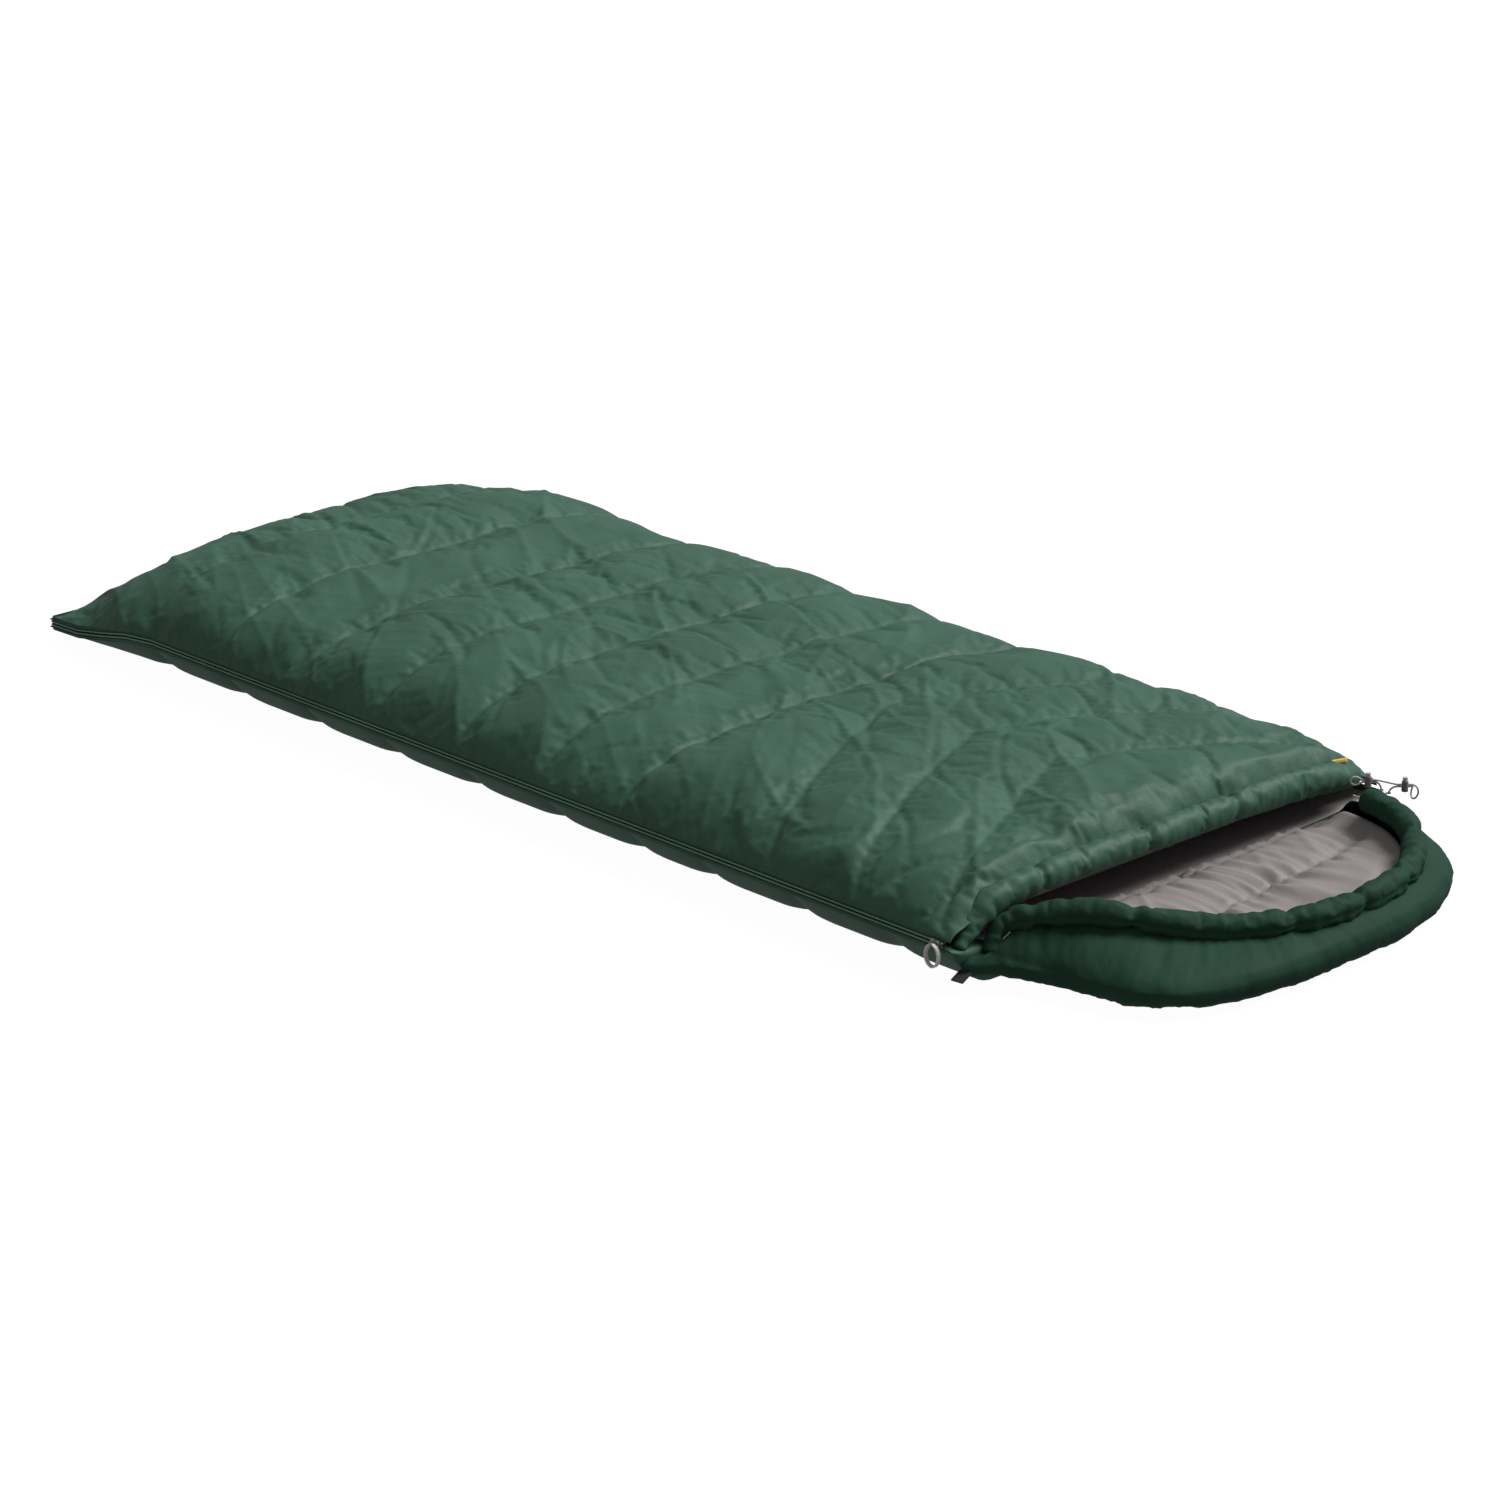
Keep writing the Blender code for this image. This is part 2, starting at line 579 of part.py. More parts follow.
end_stop = box_bmesh((zip_foot_x - 0.0030, ZIP_END_Y + GAP, FOOT_SEAM_Z - 0.0040),
                     (zip_foot_x + 0.0010, ZIP_END_Y + 0.0040, FOOT_SEAM_Z + 0.0040))
mesh_part("zip_end_stop", end_stop, looks["steel"], smooth=False)

# ---- slider and its pull loop ----
slider_frame = empty("slider_frame", (SLIDER_X, 0.0, SEAM_Z))
slider = mesh_part("zip_slider", box_bmesh((-0.0070, -0.4072, -0.0055), (0.0070, -0.4052, 0.0055)),
                   looks["slider"], slider_frame)
back_plate = cutter("slider_back_plate", box_bmesh((-0.0065, -0.4007, -0.0050), (0.0065, -0.3992, 0.0050)),
                    slider_frame)
boolean(slider, back_plate, "UNION")
post = cutter("slider_post", box_bmesh((0.0010, -0.4060, -0.0008), (0.0060, -0.3998, 0.0008)), slider_frame)
boolean(slider, post, "UNION")
for name, low, high in (("bail_top", (-BAIL, -0.4158, 0.0032), (BAIL, -0.4065, 0.0046)),
                        ("bail_front", (-BAIL, -0.4158, -0.0046), (BAIL, -0.4144, 0.0046)),
                        ("bail_bottom", (-BAIL, -0.4158, -0.0046), (BAIL, -0.4065, -0.0032))):
    boolean(slider, cutter(f"slider_{name}", box_bmesh(low, high), slider_frame), "UNION")

ring = bpy.data.curves.new("zip_pull", "CURVE")
ring.dimensions = "2D"
ring.fill_mode = "BOTH"
ring.extrude = 0.0025
for half_width, half_height in ((0.0120, 0.0155), (0.0095, 0.0130)):
    spline = ring.splines.new("POLY")
    spline.points.add(23)
    for n, slot in enumerate(spline.points):
        angle = 2 * pi * n / 24
        slot.co = (half_width * cos(angle), half_height * sin(angle) - 0.01425, 0.0, 1.0)
    spline.use_cyclic_u = True
pull = add_part("zip_pull", ring, looks["pull"])
pull.location = (SLIDER_X, PULL_Y, SEAM_Z)
pull.rotation_euler = (pi / 2, 0.0, 0.0)

# ---- tabs ----
tab = mesh_part("hook_tab", box_bmesh((-0.0085, -0.0100, -0.0011), (0.0085, 0.0100, 0.0011)),
                looks["black"], smooth=False)
tab.location = (0.7920, -0.3935, 0.0230)
tab.rotation_euler = (radians(20), 0.0, radians(8))
mesh_part("side_tab", box_bmesh((0.7624, 0.3180, 0.0840), (0.7634, 0.3520, 0.0980)), looks["yellow"],
          smooth=False)

# ---- drawcord, locks and eyelets ----
cord_path = spline_points(cord_knots(), 0.0056)
tube("drawcord", cord_path, CORD_RADIUS, looks["cord"], resolution=2)
for number, end in ((1, cord_path[0]), (2, cord_path[-1])):
    bpy.ops.mesh.primitive_torus_add(major_segments=16, minor_segments=8, major_radius=0.0027,
                                     minor_radius=0.0009, location=end + Vector((0, 0, 0.0010)))
    eyelet = bpy.context.object
    eyelet.name = f"cord_eyelet_{number}"
    eyelet.data.materials.append(looks["steel"])
    eyelet.data.shade_smooth()
    for owner in list(eyelet.users_collection):
        owner.objects.unlink(eyelet)
    parts.objects.link(eyelet)
cord_lock("cord_lock_1", LOCK_1, looks)
cord_lock("cord_lock_2", LOCK_2, looks)
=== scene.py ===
from math import cos, exp, pi, radians, sin, sqrt

import bmesh
import bpy
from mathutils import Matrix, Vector, noise


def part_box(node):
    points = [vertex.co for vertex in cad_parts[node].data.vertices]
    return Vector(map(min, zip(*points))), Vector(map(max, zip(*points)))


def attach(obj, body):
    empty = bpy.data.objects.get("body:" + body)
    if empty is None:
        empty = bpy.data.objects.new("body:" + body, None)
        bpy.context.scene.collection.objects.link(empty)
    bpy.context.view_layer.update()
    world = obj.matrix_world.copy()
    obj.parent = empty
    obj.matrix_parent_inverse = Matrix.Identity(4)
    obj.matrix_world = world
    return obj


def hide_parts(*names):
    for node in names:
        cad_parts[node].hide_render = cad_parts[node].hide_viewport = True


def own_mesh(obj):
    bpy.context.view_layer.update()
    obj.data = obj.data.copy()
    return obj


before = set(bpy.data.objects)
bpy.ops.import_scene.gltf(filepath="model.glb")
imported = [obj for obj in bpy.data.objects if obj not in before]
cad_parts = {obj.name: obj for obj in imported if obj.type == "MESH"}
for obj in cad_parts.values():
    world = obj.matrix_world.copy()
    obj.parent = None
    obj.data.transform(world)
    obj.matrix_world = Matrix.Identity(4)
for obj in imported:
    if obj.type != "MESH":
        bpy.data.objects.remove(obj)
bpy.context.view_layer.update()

# ---- positions read from the CAD frame ----
shell_low, shell_high = (Vector(corner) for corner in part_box("cover_outer_shell"))
base_high = Vector(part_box("base_outer_shell")[1])
tape_high = Vector(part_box("zip_tape_upper")[1])
hood_low, hood_high = (Vector(corner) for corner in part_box("hood_outer_shell"))
FOOT_X = shell_low.x - 0.0040
NECK_X = shell_high.x
NECK_END = NECK_X + 0.020
HALF_WIDTH = shell_high.y
HOOD_X = hood_low.x
SEAM_Z = tape_high.z - 0.0102
FOOT_SEAM_Z = 0.030
FOOT_DROP_X = -0.810
ZIP_HALF_BAND = 0.0064
FAR_HALF_GAP = 0.0022

CHAMBER_SEAMS = [-0.825, -0.650, -0.478, -0.306, -0.136, 0.034, 0.190]
CHEVRON_SEAMS = [0.285, 0.435, 0.580]
CHEVRON_SLOPE = 0.45
BASE_SEAMS = CHAMBER_SEAMS + [0.325, 0.492, 0.659]
CHAMBERS = range(1, 12)

COVER_TOP_Z = 0.151
COVER_LINING_Z = 0.083
BASE_LINING_Z = 0.044
NECK_DIVE = 0.046
UNDERCUT = 0.175
SHELL_THICKNESS = 0.0012
LINING_THICKNESS = 0.0008
LINING_INSET = 0.012
FOLD_STRENGTH = 1.2
CREASE_DEPTH = 0.0013
PUCKER_DEPTH = 0.0015
STITCH_DEPTH = 0.0009
SEAM_HOLD = 0.0042

# ---- fineness of the meshes ----
FINE = 2
COVER_ROWS = 250
COVER_COLUMNS = 124
BASE_ROWS = 120 * FINE
LINING_ROWS = 110 * FINE
PANEL_COLUMNS = 30 * FINE
WALL_COLUMNS = 110 * FINE
WALL_ROWS = 26 * FINE
TUBE_STEP = 0.0045
TUBE_AROUND = 26


# ---- camera ----
def make_camera():
    azimuth, elevation, distance = radians(46.41), radians(19.82), 6.053
    target = Vector((0.093, -0.077, 0.050))
    back = Vector((sin(azimuth) * cos(elevation), -cos(azimuth) * cos(elevation), sin(elevation)))
    data = bpy.data.cameras.new("camera")
    data.lens = 108.0
    data.sensor_width = 36.0
    camera = bpy.data.objects.new("camera", data)
    camera.location = target + back * distance
    camera.rotation_euler = back.to_track_quat("Z", "Y").to_euler()
    bpy.context.scene.collection.objects.link(camera)
    bpy.context.scene.camera = camera


# ---- small helpers ----
def smoothstep(value):
    value = min(1.0, max(0.0, value))
    return value * value * (3 - 2 * value)


def ridge(x, y, z=0.0):
    """0 to 1, with sharp crests, as creased fabric has."""
    return 1 - min(1.0, 2.2 * abs(noise.noise(Vector((x, y, z)))))


def spline_points(knots, step):
    """Points about `step` apart on a Catmull-Rom curve through the knots."""
    knots = [Vector(k) for k in knots]
    ends = [knots[0] * 2 - knots[1]] + knots + [knots[-1] * 2 - knots[-2]]
    fine = []
    for a, b, c, d in zip(ends, ends[1:], ends[2:], ends[3:]):
        for k in range(24):
            t = k / 24
            fine.append(0.5 * (2 * b + (c - a) * t + (2 * a - 5 * b + 4 * c - d) * t * t
                               + (3 * b - a - 3 * c + d) * t ** 3))
    fine.append(knots[-1])
    return resample(fine, step)


def resample(fine, step):
    """Evenly spaced points, about `step` apart, along a line of close points."""
    lengths = [0.0]
    for a, b in zip(fine, fine[1:]):
        lengths.append(lengths[-1] + (b - a).length)
    count = max(2, round(lengths[-1] / step))
    points, k = [], 0
    for n in range(count + 1):
        goal = lengths[-1] * n / count
        while k < len(fine) - 2 and lengths[k + 1] < goal:
            k += 1
        share = (goal - lengths[k]) / max(1e-9, lengths[k + 1] - lengths[k])
        points.append(fine[k].lerp(fine[k + 1], share))
    return points


def add_object(name, data, look):
    obj = bpy.data.objects.new(name, data)
    bpy.context.scene.collection.objects.link(obj)
    data.materials.append(look)
    return obj


def grid_object(name, rows, look, closed=False):
    """A smooth quad mesh through rows of points. Closed joins each row's end to its start."""
    width = len(rows[0])
    verts = [tuple(point) for row in rows for point in row]
    faces = []
    for i in range(len(rows) - 1):
        for j in range(width if closed else width - 1):
            k = (j + 1) % width
            faces.append((i * width + j, (i + 1) * width + j, (i + 1) * width + k, i * width + k))
    mesh = bpy.data.meshes.new(name)
    mesh.from_pydata(verts, [], faces)
    mesh.shade_smooth()
    return add_object(name, mesh, look)


def subdivide(obj):
    mod = obj.modifiers.new("smooth", "SUBSURF")
    mod.levels = 1
    mod.render_levels = 1


def thicken(obj, thickness):
    """Gives cloth its thickness, on the inner side."""
    mod = obj.modifiers.new("thickness", "SOLIDIFY")
    mod.thickness = thickness
    mod.offset = -1.0


def puff_up(obj, held, pressure, spare, cap, frames=20):
    """Swells fabric between the held vertices, each at most by cap. Spare is the share of extra cloth."""
    start = [vert.co.copy() for vert in obj.data.vertices]
    group = obj.vertex_groups.new(name="held")
    for index, weight in held.items():
        group.add([index], weight, "REPLACE")
    mod = obj.modifiers.new("cloth", "CLOTH")
    cloth = mod.settings
    cloth.quality = 6
    cloth.mass = 0.15
    cloth.tension_stiffness = 25
    cloth.compression_stiffness = 25
    cloth.shear_stiffness = 8
    cloth.bending_stiffness = 0.02
    cloth.tension_damping = 8
    cloth.compression_damping = 8
    cloth.air_damping = 3
    cloth.vertex_group_mass = "held"
    cloth.shrink_min = -spare
    cloth.shrink_max = -spare
    cloth.use_pressure = True
    cloth.uniform_pressure_force = pressure
    cloth.effector_weights.gravity = 0
    mod.collision_settings.use_collision = False
    mod.point_cache.frame_start = 1
    mod.point_cache.frame_end = frames
    scene = bpy.context.scene
    for number in range(1, frames + 1):
        scene.frame_set(number)
    depsgraph = bpy.context.evaluated_depsgraph_get()
    evaluated = obj.evaluated_get(depsgraph)
    moved = [vert.co.copy() for vert in evaluated.data.vertices]
    obj.modifiers.remove(mod)
    obj.vertex_groups.remove(group)
    for vert, before, after in zip(obj.data.vertices, start, moved):
        step = after - before
        if step.length > cap:
            step *= cap / step.length
        vert.co = before + step
    scene.frame_set(1)


# ---- materials ----
WEAVE_PITCH = 0.0009
WEAVE_DEPTH = 0.00006
CRINKLE_SIZE = 0.020
GRAIN_SIZE = 0.0006
GRAIN_DEPTH = 0.00003
BANDS_PER_UNIT = 0.314


def fabric(name, colour, roughness, sheen=0.0, variation=0.12, crinkle=0.0012, specular=0.18):
    """Woven cloth: thread bumps, fine crinkles, slight colour and gloss variation."""
    mat = bpy.data.materials.new(name)
    mat.use_nodes = True
    tree = mat.node_tree
    shader = tree.nodes["Principled BSDF"]
    coords = tree.nodes.new("ShaderNodeTexCoord")

    blotch = tree.nodes.new("ShaderNodeTexNoise")
    blotch.inputs["Scale"].default_value = 7.0
    blotch.inputs["Detail"].default_value = 5.0
    tree.links.new(coords.outputs["Object"], blotch.inputs["Vector"])
    ramp = tree.nodes.new("ShaderNodeValToRGB")
    ramp.color_ramp.elements[0].position = 0.30
    ramp.color_ramp.elements[1].position = 0.70
    ramp.color_ramp.elements[0].color = (*[c * (1 - variation) for c in colour], 1.0)
    ramp.color_ramp.elements[1].color = (*[c * (1 + variation) for c in colour], 1.0)
    tree.links.new(blotch.outputs["Fac"], ramp.inputs["Fac"])
    tree.links.new(ramp.outputs["Color"], shader.inputs["Base Color"])

    gloss = tree.nodes.new("ShaderNodeMapRange")
    gloss.inputs["To Min"].default_value = roughness - 0.06
    gloss.inputs["To Max"].default_value = roughness + 0.08
    tree.links.new(blotch.outputs["Fac"], gloss.inputs["Value"])
    tree.links.new(gloss.outputs["Result"], shader.inputs["Roughness"])
    shader.inputs["Sheen Weight"].default_value = sheen
    shader.inputs["Sheen Roughness"].default_value = 0.45
    shader.inputs["Specular IOR Level"].default_value = specular

    threads = []
    for direction in ("X", "Y"):
        wave = tree.nodes.new("ShaderNodeTexWave")
        wave.wave_type = "BANDS"
        wave.bands_direction = direction
        wave.inputs["Scale"].default_value = BANDS_PER_UNIT / WEAVE_PITCH
        wave.inputs["Distortion"].default_value = 0.3
        tree.links.new(coords.outputs["Object"], wave.inputs["Vector"])
        threads.append(wave)
    cross = tree.nodes.new("ShaderNodeMath")
    cross.operation = "MULTIPLY"
    tree.links.new(threads[0].outputs["Fac"], cross.inputs[0])
    tree.links.new(threads[1].outputs["Fac"], cross.inputs[1])

    creases = tree.nodes.new("ShaderNodeTexNoise")
    creases.inputs["Scale"].default_value = 1 / CRINKLE_SIZE
    creases.inputs["Detail"].default_value = 6.0
    creases.inputs["Roughness"].default_value = 0.55
    creases.inputs["Distortion"].default_value = 0.8
    tree.links.new(coords.outputs["Object"], creases.inputs["Vector"])

    coarse = tree.nodes.new("ShaderNodeBump")
    coarse.inputs["Distance"].default_value = crinkle
    coarse.inputs["Strength"].default_value = 0.7
    tree.links.new(creases.outputs["Fac"], coarse.inputs["Height"])
    fine = tree.nodes.new("ShaderNodeBump")
    fine.inputs["Distance"].default_value = WEAVE_DEPTH
    fine.inputs["Strength"].default_value = 0.6
    tree.links.new(cross.outputs["Value"], fine.inputs["Height"])
    tree.links.new(coarse.outputs["Normal"], fine.inputs["Normal"])
    tree.links.new(fine.outputs["Normal"], shader.inputs["Normal"])
    return mat


def moulded(name, colour, roughness, metallic=0.0):
    """Moulded plastic, rubber or cast metal with a fine surface grain."""
    mat = bpy.data.materials.new(name)
    mat.use_nodes = True
    tree = mat.node_tree
    shader = tree.nodes["Principled BSDF"]
    coords = tree.nodes.new("ShaderNodeTexCoord")
    specks = tree.nodes.new("ShaderNodeTexNoise")
    specks.inputs["Scale"].default_value = 1 / GRAIN_SIZE
    specks.inputs["Detail"].default_value = 3.0
    tree.links.new(coords.outputs["Object"], specks.inputs["Vector"])
    wear = tree.nodes.new("ShaderNodeTexNoise")
    wear.inputs["Scale"].default_value = 120.0
    wear.inputs["Detail"].default_value = 4.0
    tree.links.new(coords.outputs["Object"], wear.inputs["Vector"])
    ramp = tree.nodes.new("ShaderNodeValToRGB")
    ramp.color_ramp.elements[0].position = 0.35
    ramp.color_ramp.elements[1].position = 0.65
    ramp.color_ramp.elements[0].color = (*[c * 0.94 for c in colour], 1.0)
    ramp.color_ramp.elements[1].color = (*[c * 1.06 for c in colour], 1.0)
    tree.links.new(wear.outputs["Fac"], ramp.inputs["Fac"])
    tree.links.new(ramp.outputs["Color"], shader.inputs["Base Color"])
    gloss = tree.nodes.new("ShaderNodeMapRange")
    gloss.inputs["To Min"].default_value = roughness - 0.05
    gloss.inputs["To Max"].default_value = roughness + 0.08
    tree.links.new(wear.outputs["Fac"], gloss.inputs["Value"])
    tree.links.new(gloss.outputs["Result"], shader.inputs["Roughness"])
    shader.inputs["Metallic"].default_value = metallic
    bump = tree.nodes.new("ShaderNodeBump")
    bump.inputs["Distance"].default_value = GRAIN_DEPTH
    bump.inputs["Strength"].default_value = 0.5
    tree.links.new(specks.outputs["Fac"], bump.inputs["Height"])
    tree.links.new(bump.outputs["Normal"], shader.inputs["Normal"])
    return mat


def ribbed(name, colour, roughness, pitch, depth):
    """Zip coil, braided cord or tape: ribs at a fixed pitch along X."""
    mat = fabric(name, colour, roughness, sheen=0.1, crinkle=0.0001)
    tree = mat.node_tree
    shader = tree.nodes["Principled BSDF"]
    coords = tree.nodes.new("ShaderNodeTexCoord")
    ribs = tree.nodes.new("ShaderNodeTexWave")
    ribs.wave_type = "BANDS"
    ribs.bands_direction = "X"
    ribs.inputs["Scale"].default_value = BANDS_PER_UNIT / pitch
    tree.links.new(coords.outputs["Object"], ribs.inputs["Vector"])
    bump = tree.nodes.new("ShaderNodeBump")
    bump.inputs["Distance"].default_value = depth
    bump.inputs["Strength"].default_value = 0.8
    tree.links.new(ribs.outputs["Fac"], bump.inputs["Height"])
    tree.links.new(shader.inputs["Normal"].links[0].from_socket, bump.inputs["Normal"])
    tree.links.new(bump.outputs["Normal"], shader.inputs["Normal"])
    return mat


shell_look = fabric("shell_taffeta", (0.043, 0.108, 0.074), 0.52)
# Hood and rim cloth: the shell's taffeta with its colour darkened as painted shade, for the hood wall and
# rim, which face away from the key light.
hood_painted_shade_look = fabric("hood_taffeta_painted_shade", (0.020, 0.055, 0.037), 0.60, specular=0.05)
lining_look = fabric("grey_lining_cloth", (0.270, 0.240, 0.240), 0.55, variation=0.05)
tape_look = ribbed("zip_tape_weave", (0.040, 0.095, 0.068), 0.75, 0.0012, 0.0001)
coil_look = ribbed("zip_coil_nylon", (0.170, 0.330, 0.255), 0.38, 0.0014, 0.0004)
cord_look = ribbed("braided_cord", (0.520, 0.490, 0.490), 0.75, 0.0011, 0.0002)
pull_look = moulded("pull_rubber_look", (0.640, 0.630, 0.590), 0.45)
lock_look = moulded("lock_plastic_look", (0.190, 0.175, 0.180), 0.42)
button_look = moulded("button_plastic_look", (0.500, 0.470, 0.475), 0.42)
metal_look = moulded("plated_metal_look", (0.420, 0.420, 0.430), 0.32, metallic=1.0)
black_look = ribbed("black_webbing_weave", (0.020, 0.020, 0.022), 0.70, 0.0016, 0.0003)
yellow_look = ribbed("yellow_tape_weave", (0.830, 0.570, 0.110), 0.60, 0.0010, 0.0002)

make_camera()


# ---- drawcord and cord locks ----
CORD_DIAMETER = 0.0025
CORD_HEADING = radians(46.3)
LOCK_1 = Vector((0.8285, 0.3215, 0.1005))
LOCK_2 = Vector((0.8615, 0.3560, 0.0945))


def spring_look(body):
    """The lock's spring, which its plunger presses flat."""
    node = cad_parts[f"cord_{body}_spring"]
    data = node.data.copy()
    data.materials.clear()
    data.transform(node.matrix_world)
    spring = add_object(f"cord_{body}_spring_look", data, metal_look)
    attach(spring, body)
    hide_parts(f"cord_{body}_spring")
    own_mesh(spring)
    return spring


def cord_point(lock, along_cord, height, deeper=0.0):
    """A point in millimetres from the middle of a cord lock: along the cord, up, and away to the back."""
    heading = Vector((cos(CORD_HEADING), sin(CORD_HEADING), 0.0))
    back = Vector((-sin(CORD_HEADING), cos(CORD_HEADING), 0.0))
    return lock + 0.001 * (heading * along_cord + Vector((0, 0, height)) + back * deeper)


def make_drawcord():
    """The free cord: from the first eyelet through both locks, with a loop at each, to the second."""
    first_knots = [(17.4, -13.5), (17.2, -10.0), (15.6, -5.6), (12.8, -2.4), (10.6, -1.45), (4.0, -1.45),
                   (-4.0, -1.45), (-8.5, -1.8), (-12.6, -4.2), (-17.0, -5.4), (-21.0, -3.8), (-22.6, 0.2),
                   (-21.0, 4.2), (-17.0, 5.8), (-12.6, 4.6), (-8.5, 2.1), (-4.0, 1.45), (4.0, 1.45),
                   (10.6, 1.45)]
    second_knots = [(-10.6, 1.45, 0), (-4.0, 1.45, 0), (4.0, 1.45, 0), (8.5, 1.4, 0), (13.5, -0.6, 0.5),
                    (17.3, -6.0, 1.5), (17.8, -13.0, 3.0), (15.2, -19.5, 6.5), (12.0, -22.0, 12.0),
                    (11.0, -18.5, 17.0), (11.6, -12.0, 18.0), (12.6, -6.0, 15.0), (12.4, -2.6, 9.0),
                    (10.6, -1.6, 3.6), (7.0, -1.45, 0.4), (4.0, -1.45, 0), (-4.0, -1.45, 0),
                    (-10.6, -1.45, 0), (-14.4, -2.2, 0), (-17.6, -4.4, 0), (-19.8, -7.6, 0),
                    (-20.8, -11.2, 0)]
    spring_1 = spring_look("lock_1")
    spring_2 = spring_look("lock_2")
    cord_knots = [cord_point(LOCK_1, *knot) for knot in first_knots]
    cord_knots += [cord_point(LOCK_2, *knot) for knot in second_knots]
    cord_route = spline_points(cord_knots, 0.0035)

    curve = bpy.data.curves.new("drawcord_look", "CURVE")
    curve.dimensions = "3D"
    curve.bevel_depth = CORD_DIAMETER / 2
    curve.bevel_resolution = 3
    curve.use_fill_caps = True
    spline = curve.splines.new("POLY")
    spline.points.add(len(cord_route) - 1)
    for vertex, point in zip(spline.points, cord_route):
        vertex.co = (*point, 1.0)
    spline.use_smooth = True
    cord = add_object("drawcord_look", curve, cord_look)
    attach(cord, "base")
    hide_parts("drawcord")


make_drawcord()


# ---- shape of the bag ----
def seam_height(x):
    """Height of the middle of the seam or zip along the edge at x."""
    drop = smoothstep((FOOT_DROP_X - x) / (FOOT_DROP_X - FOOT_X - 0.03))
    return SEAM_Z + (FOOT_SEAM_Z - SEAM_Z) * drop


def half_gap(x, y):
    """Half the gap between base and cover: the zip band near and at the foot, a bare seam far."""
    near_side = smoothstep(0.5 - 0.5 * y / HALF_WIDTH)
    foot = smoothstep((FOOT_X + 0.10 - x) / 0.10) * smoothstep((HALF_WIDTH - 0.01 - y) / 0.03)
    return FAR_HALF_GAP + (ZIP_HALF_BAND - FAR_HALF_GAP) * max(near_side, foot)


def loft(x):
    """Height of the cover's middle line: three large humps, and a dive to the collar."""
    foot_loft = 0.010 * exp(-((x + 0.78) / 0.16) ** 2)
    dips = 0.014 * exp(-((x + 0.530) / 0.070) ** 2) + 0.013 * exp(-((x - 0.145) / 0.070) ** 2)
    neck_drop = 0.007 * smoothstep((x - 0.52) / 0.22)
    dive = NECK_DIVE * smoothstep((x - NECK_END + 0.034) / 0.034)
    return COVER_TOP_Z + foot_loft - dips - neck_drop - dive


def near_bulge(y):
    """How far the cloth overhangs the zip tape on the near side."""
    return 0.0040 * smoothstep((-y / HALF_WIDTH - 0.95) / 0.05)


def nearest_seam(x, y, seams=CHAMBER_SEAMS, chevrons=CHEVRON_SEAMS):
    """Distance to the closest quilt seam, and the number of that seam."""
    best, which = 1.0, 0
    for number, seam in enumerate(seams):
        away = abs(x - seam)
        if away < best:
            best, which = away, number
    for number, apex in enumerate(chevrons):
        away = abs(x - apex - CHEVRON_SLOPE * abs(y)) * 0.912
        if away < best:
            best, which = away, number + len(seams)
    return best, which


def cover_section(x, columns):
    """Points across the cover at x, evenly spaced along the cloth, from the zip to the far seam."""
    inset = min(1.0, max(0.0, (x - FOOT_X) / 0.26))
    rise = max(0.0, 1 - (1 - inset) ** 2.2) ** 0.70
    at_foot = 1 - smoothstep((x - FOOT_X) / 0.34)
    fine = []
    for k in range(161):
        angle = pi * k / 160
        y = -HALF_WIDTH * (abs(cos(angle)) ** (0.50 + 0.35 * at_foot)) * (1 if cos(angle) > 0 else -1)
        lift = sin(angle) ** ((1.05 if y < 0 else 0.90) + 0.45 * at_foot)
        edge = seam_height(x) + half_gap(x, y)
        fine.append(Vector((x, y - near_bulge(y), edge + (loft(x) - edge) * rise * lift)))
    length = sum((b - a).length for a, b in zip(fine, fine[1:]))
    points = resample(fine, length / columns)
    return points[:columns + 1]


def rows_along(start, end, count, crowd=0.5):
    """x of each row, closer together near the foot as crowd grows."""
    xs = []
    for n in range(count + 1):
        share = n / count
        xs.append(start + (end - start) * ((1 - crowd * 0.12) * share + crowd * 0.12 * share ** 3))
    return xs


def normals(rows):
    """A unit normal at each point of a grid."""
    found = []
    for i, row in enumerate(rows):
        line = []
        for j in range(len(row)):
            a = rows[min(i + 1, len(rows) - 1)][j] - rows[max(i - 1, 0)][j]
            b = row[min(j + 1, len(row) - 1)] - row[max(j - 1, 0)]
            normal = a.cross(b)
            line.append(normal.normalized() if normal.length > 1e-12 else Vector((0, 0, 1)))
        found.append(line)
    return found


def pushed(rows, amount):
    """The grid moved along its normals by amount(point, i, j)."""
    lines = normals(rows)
    return [[point + lines[i][j] * amount(point, i, j) for j, point in enumerate(row)]
            for i, row in enumerate(rows)]


def quilt_depth(point, seams=CHAMBER_SEAMS, chevrons=CHEVRON_SEAMS, puff=0.012, reach=0.055):
    """How far the cloth is drawn in towards the seams: nothing in mid chamber, puff on a seam."""
    away = nearest_seam(point.x, point.y, seams, chevrons)[0]
    share = min(1.0, away / reach)
    return puff * (sqrt(max(0.0, 1 - (1 - share) ** 2)) - 1)


def puckers(point):
    """Short gathers across each seam, and the stitched line itself."""
    away, which = nearest_seam(point.x, point.y)
    gathers = noise.noise(Vector((point.y * 70 + which * 9.1, point.x * 8, which * 3.7)))
    gathers += 0.6 * noise.noise(Vector((point.y * 150 + which * 4.3, point.x * 14, which * 1.7)))
    gathers *= 0.35 + 0.65 * smoothstep((point.y + HALF_WIDTH) / 0.12)
    length = 0.020 + 0.014 * noise.noise(Vector((point.y * 9 + which * 5.3, which * 2.9, 4.0)))
    swell = PUCKER_DEPTH * gathers * exp(-away / length) * smoothstep(away / 0.005)
    return swell - STITCH_DEPTH * exp(-(away / 0.0022) ** 2)


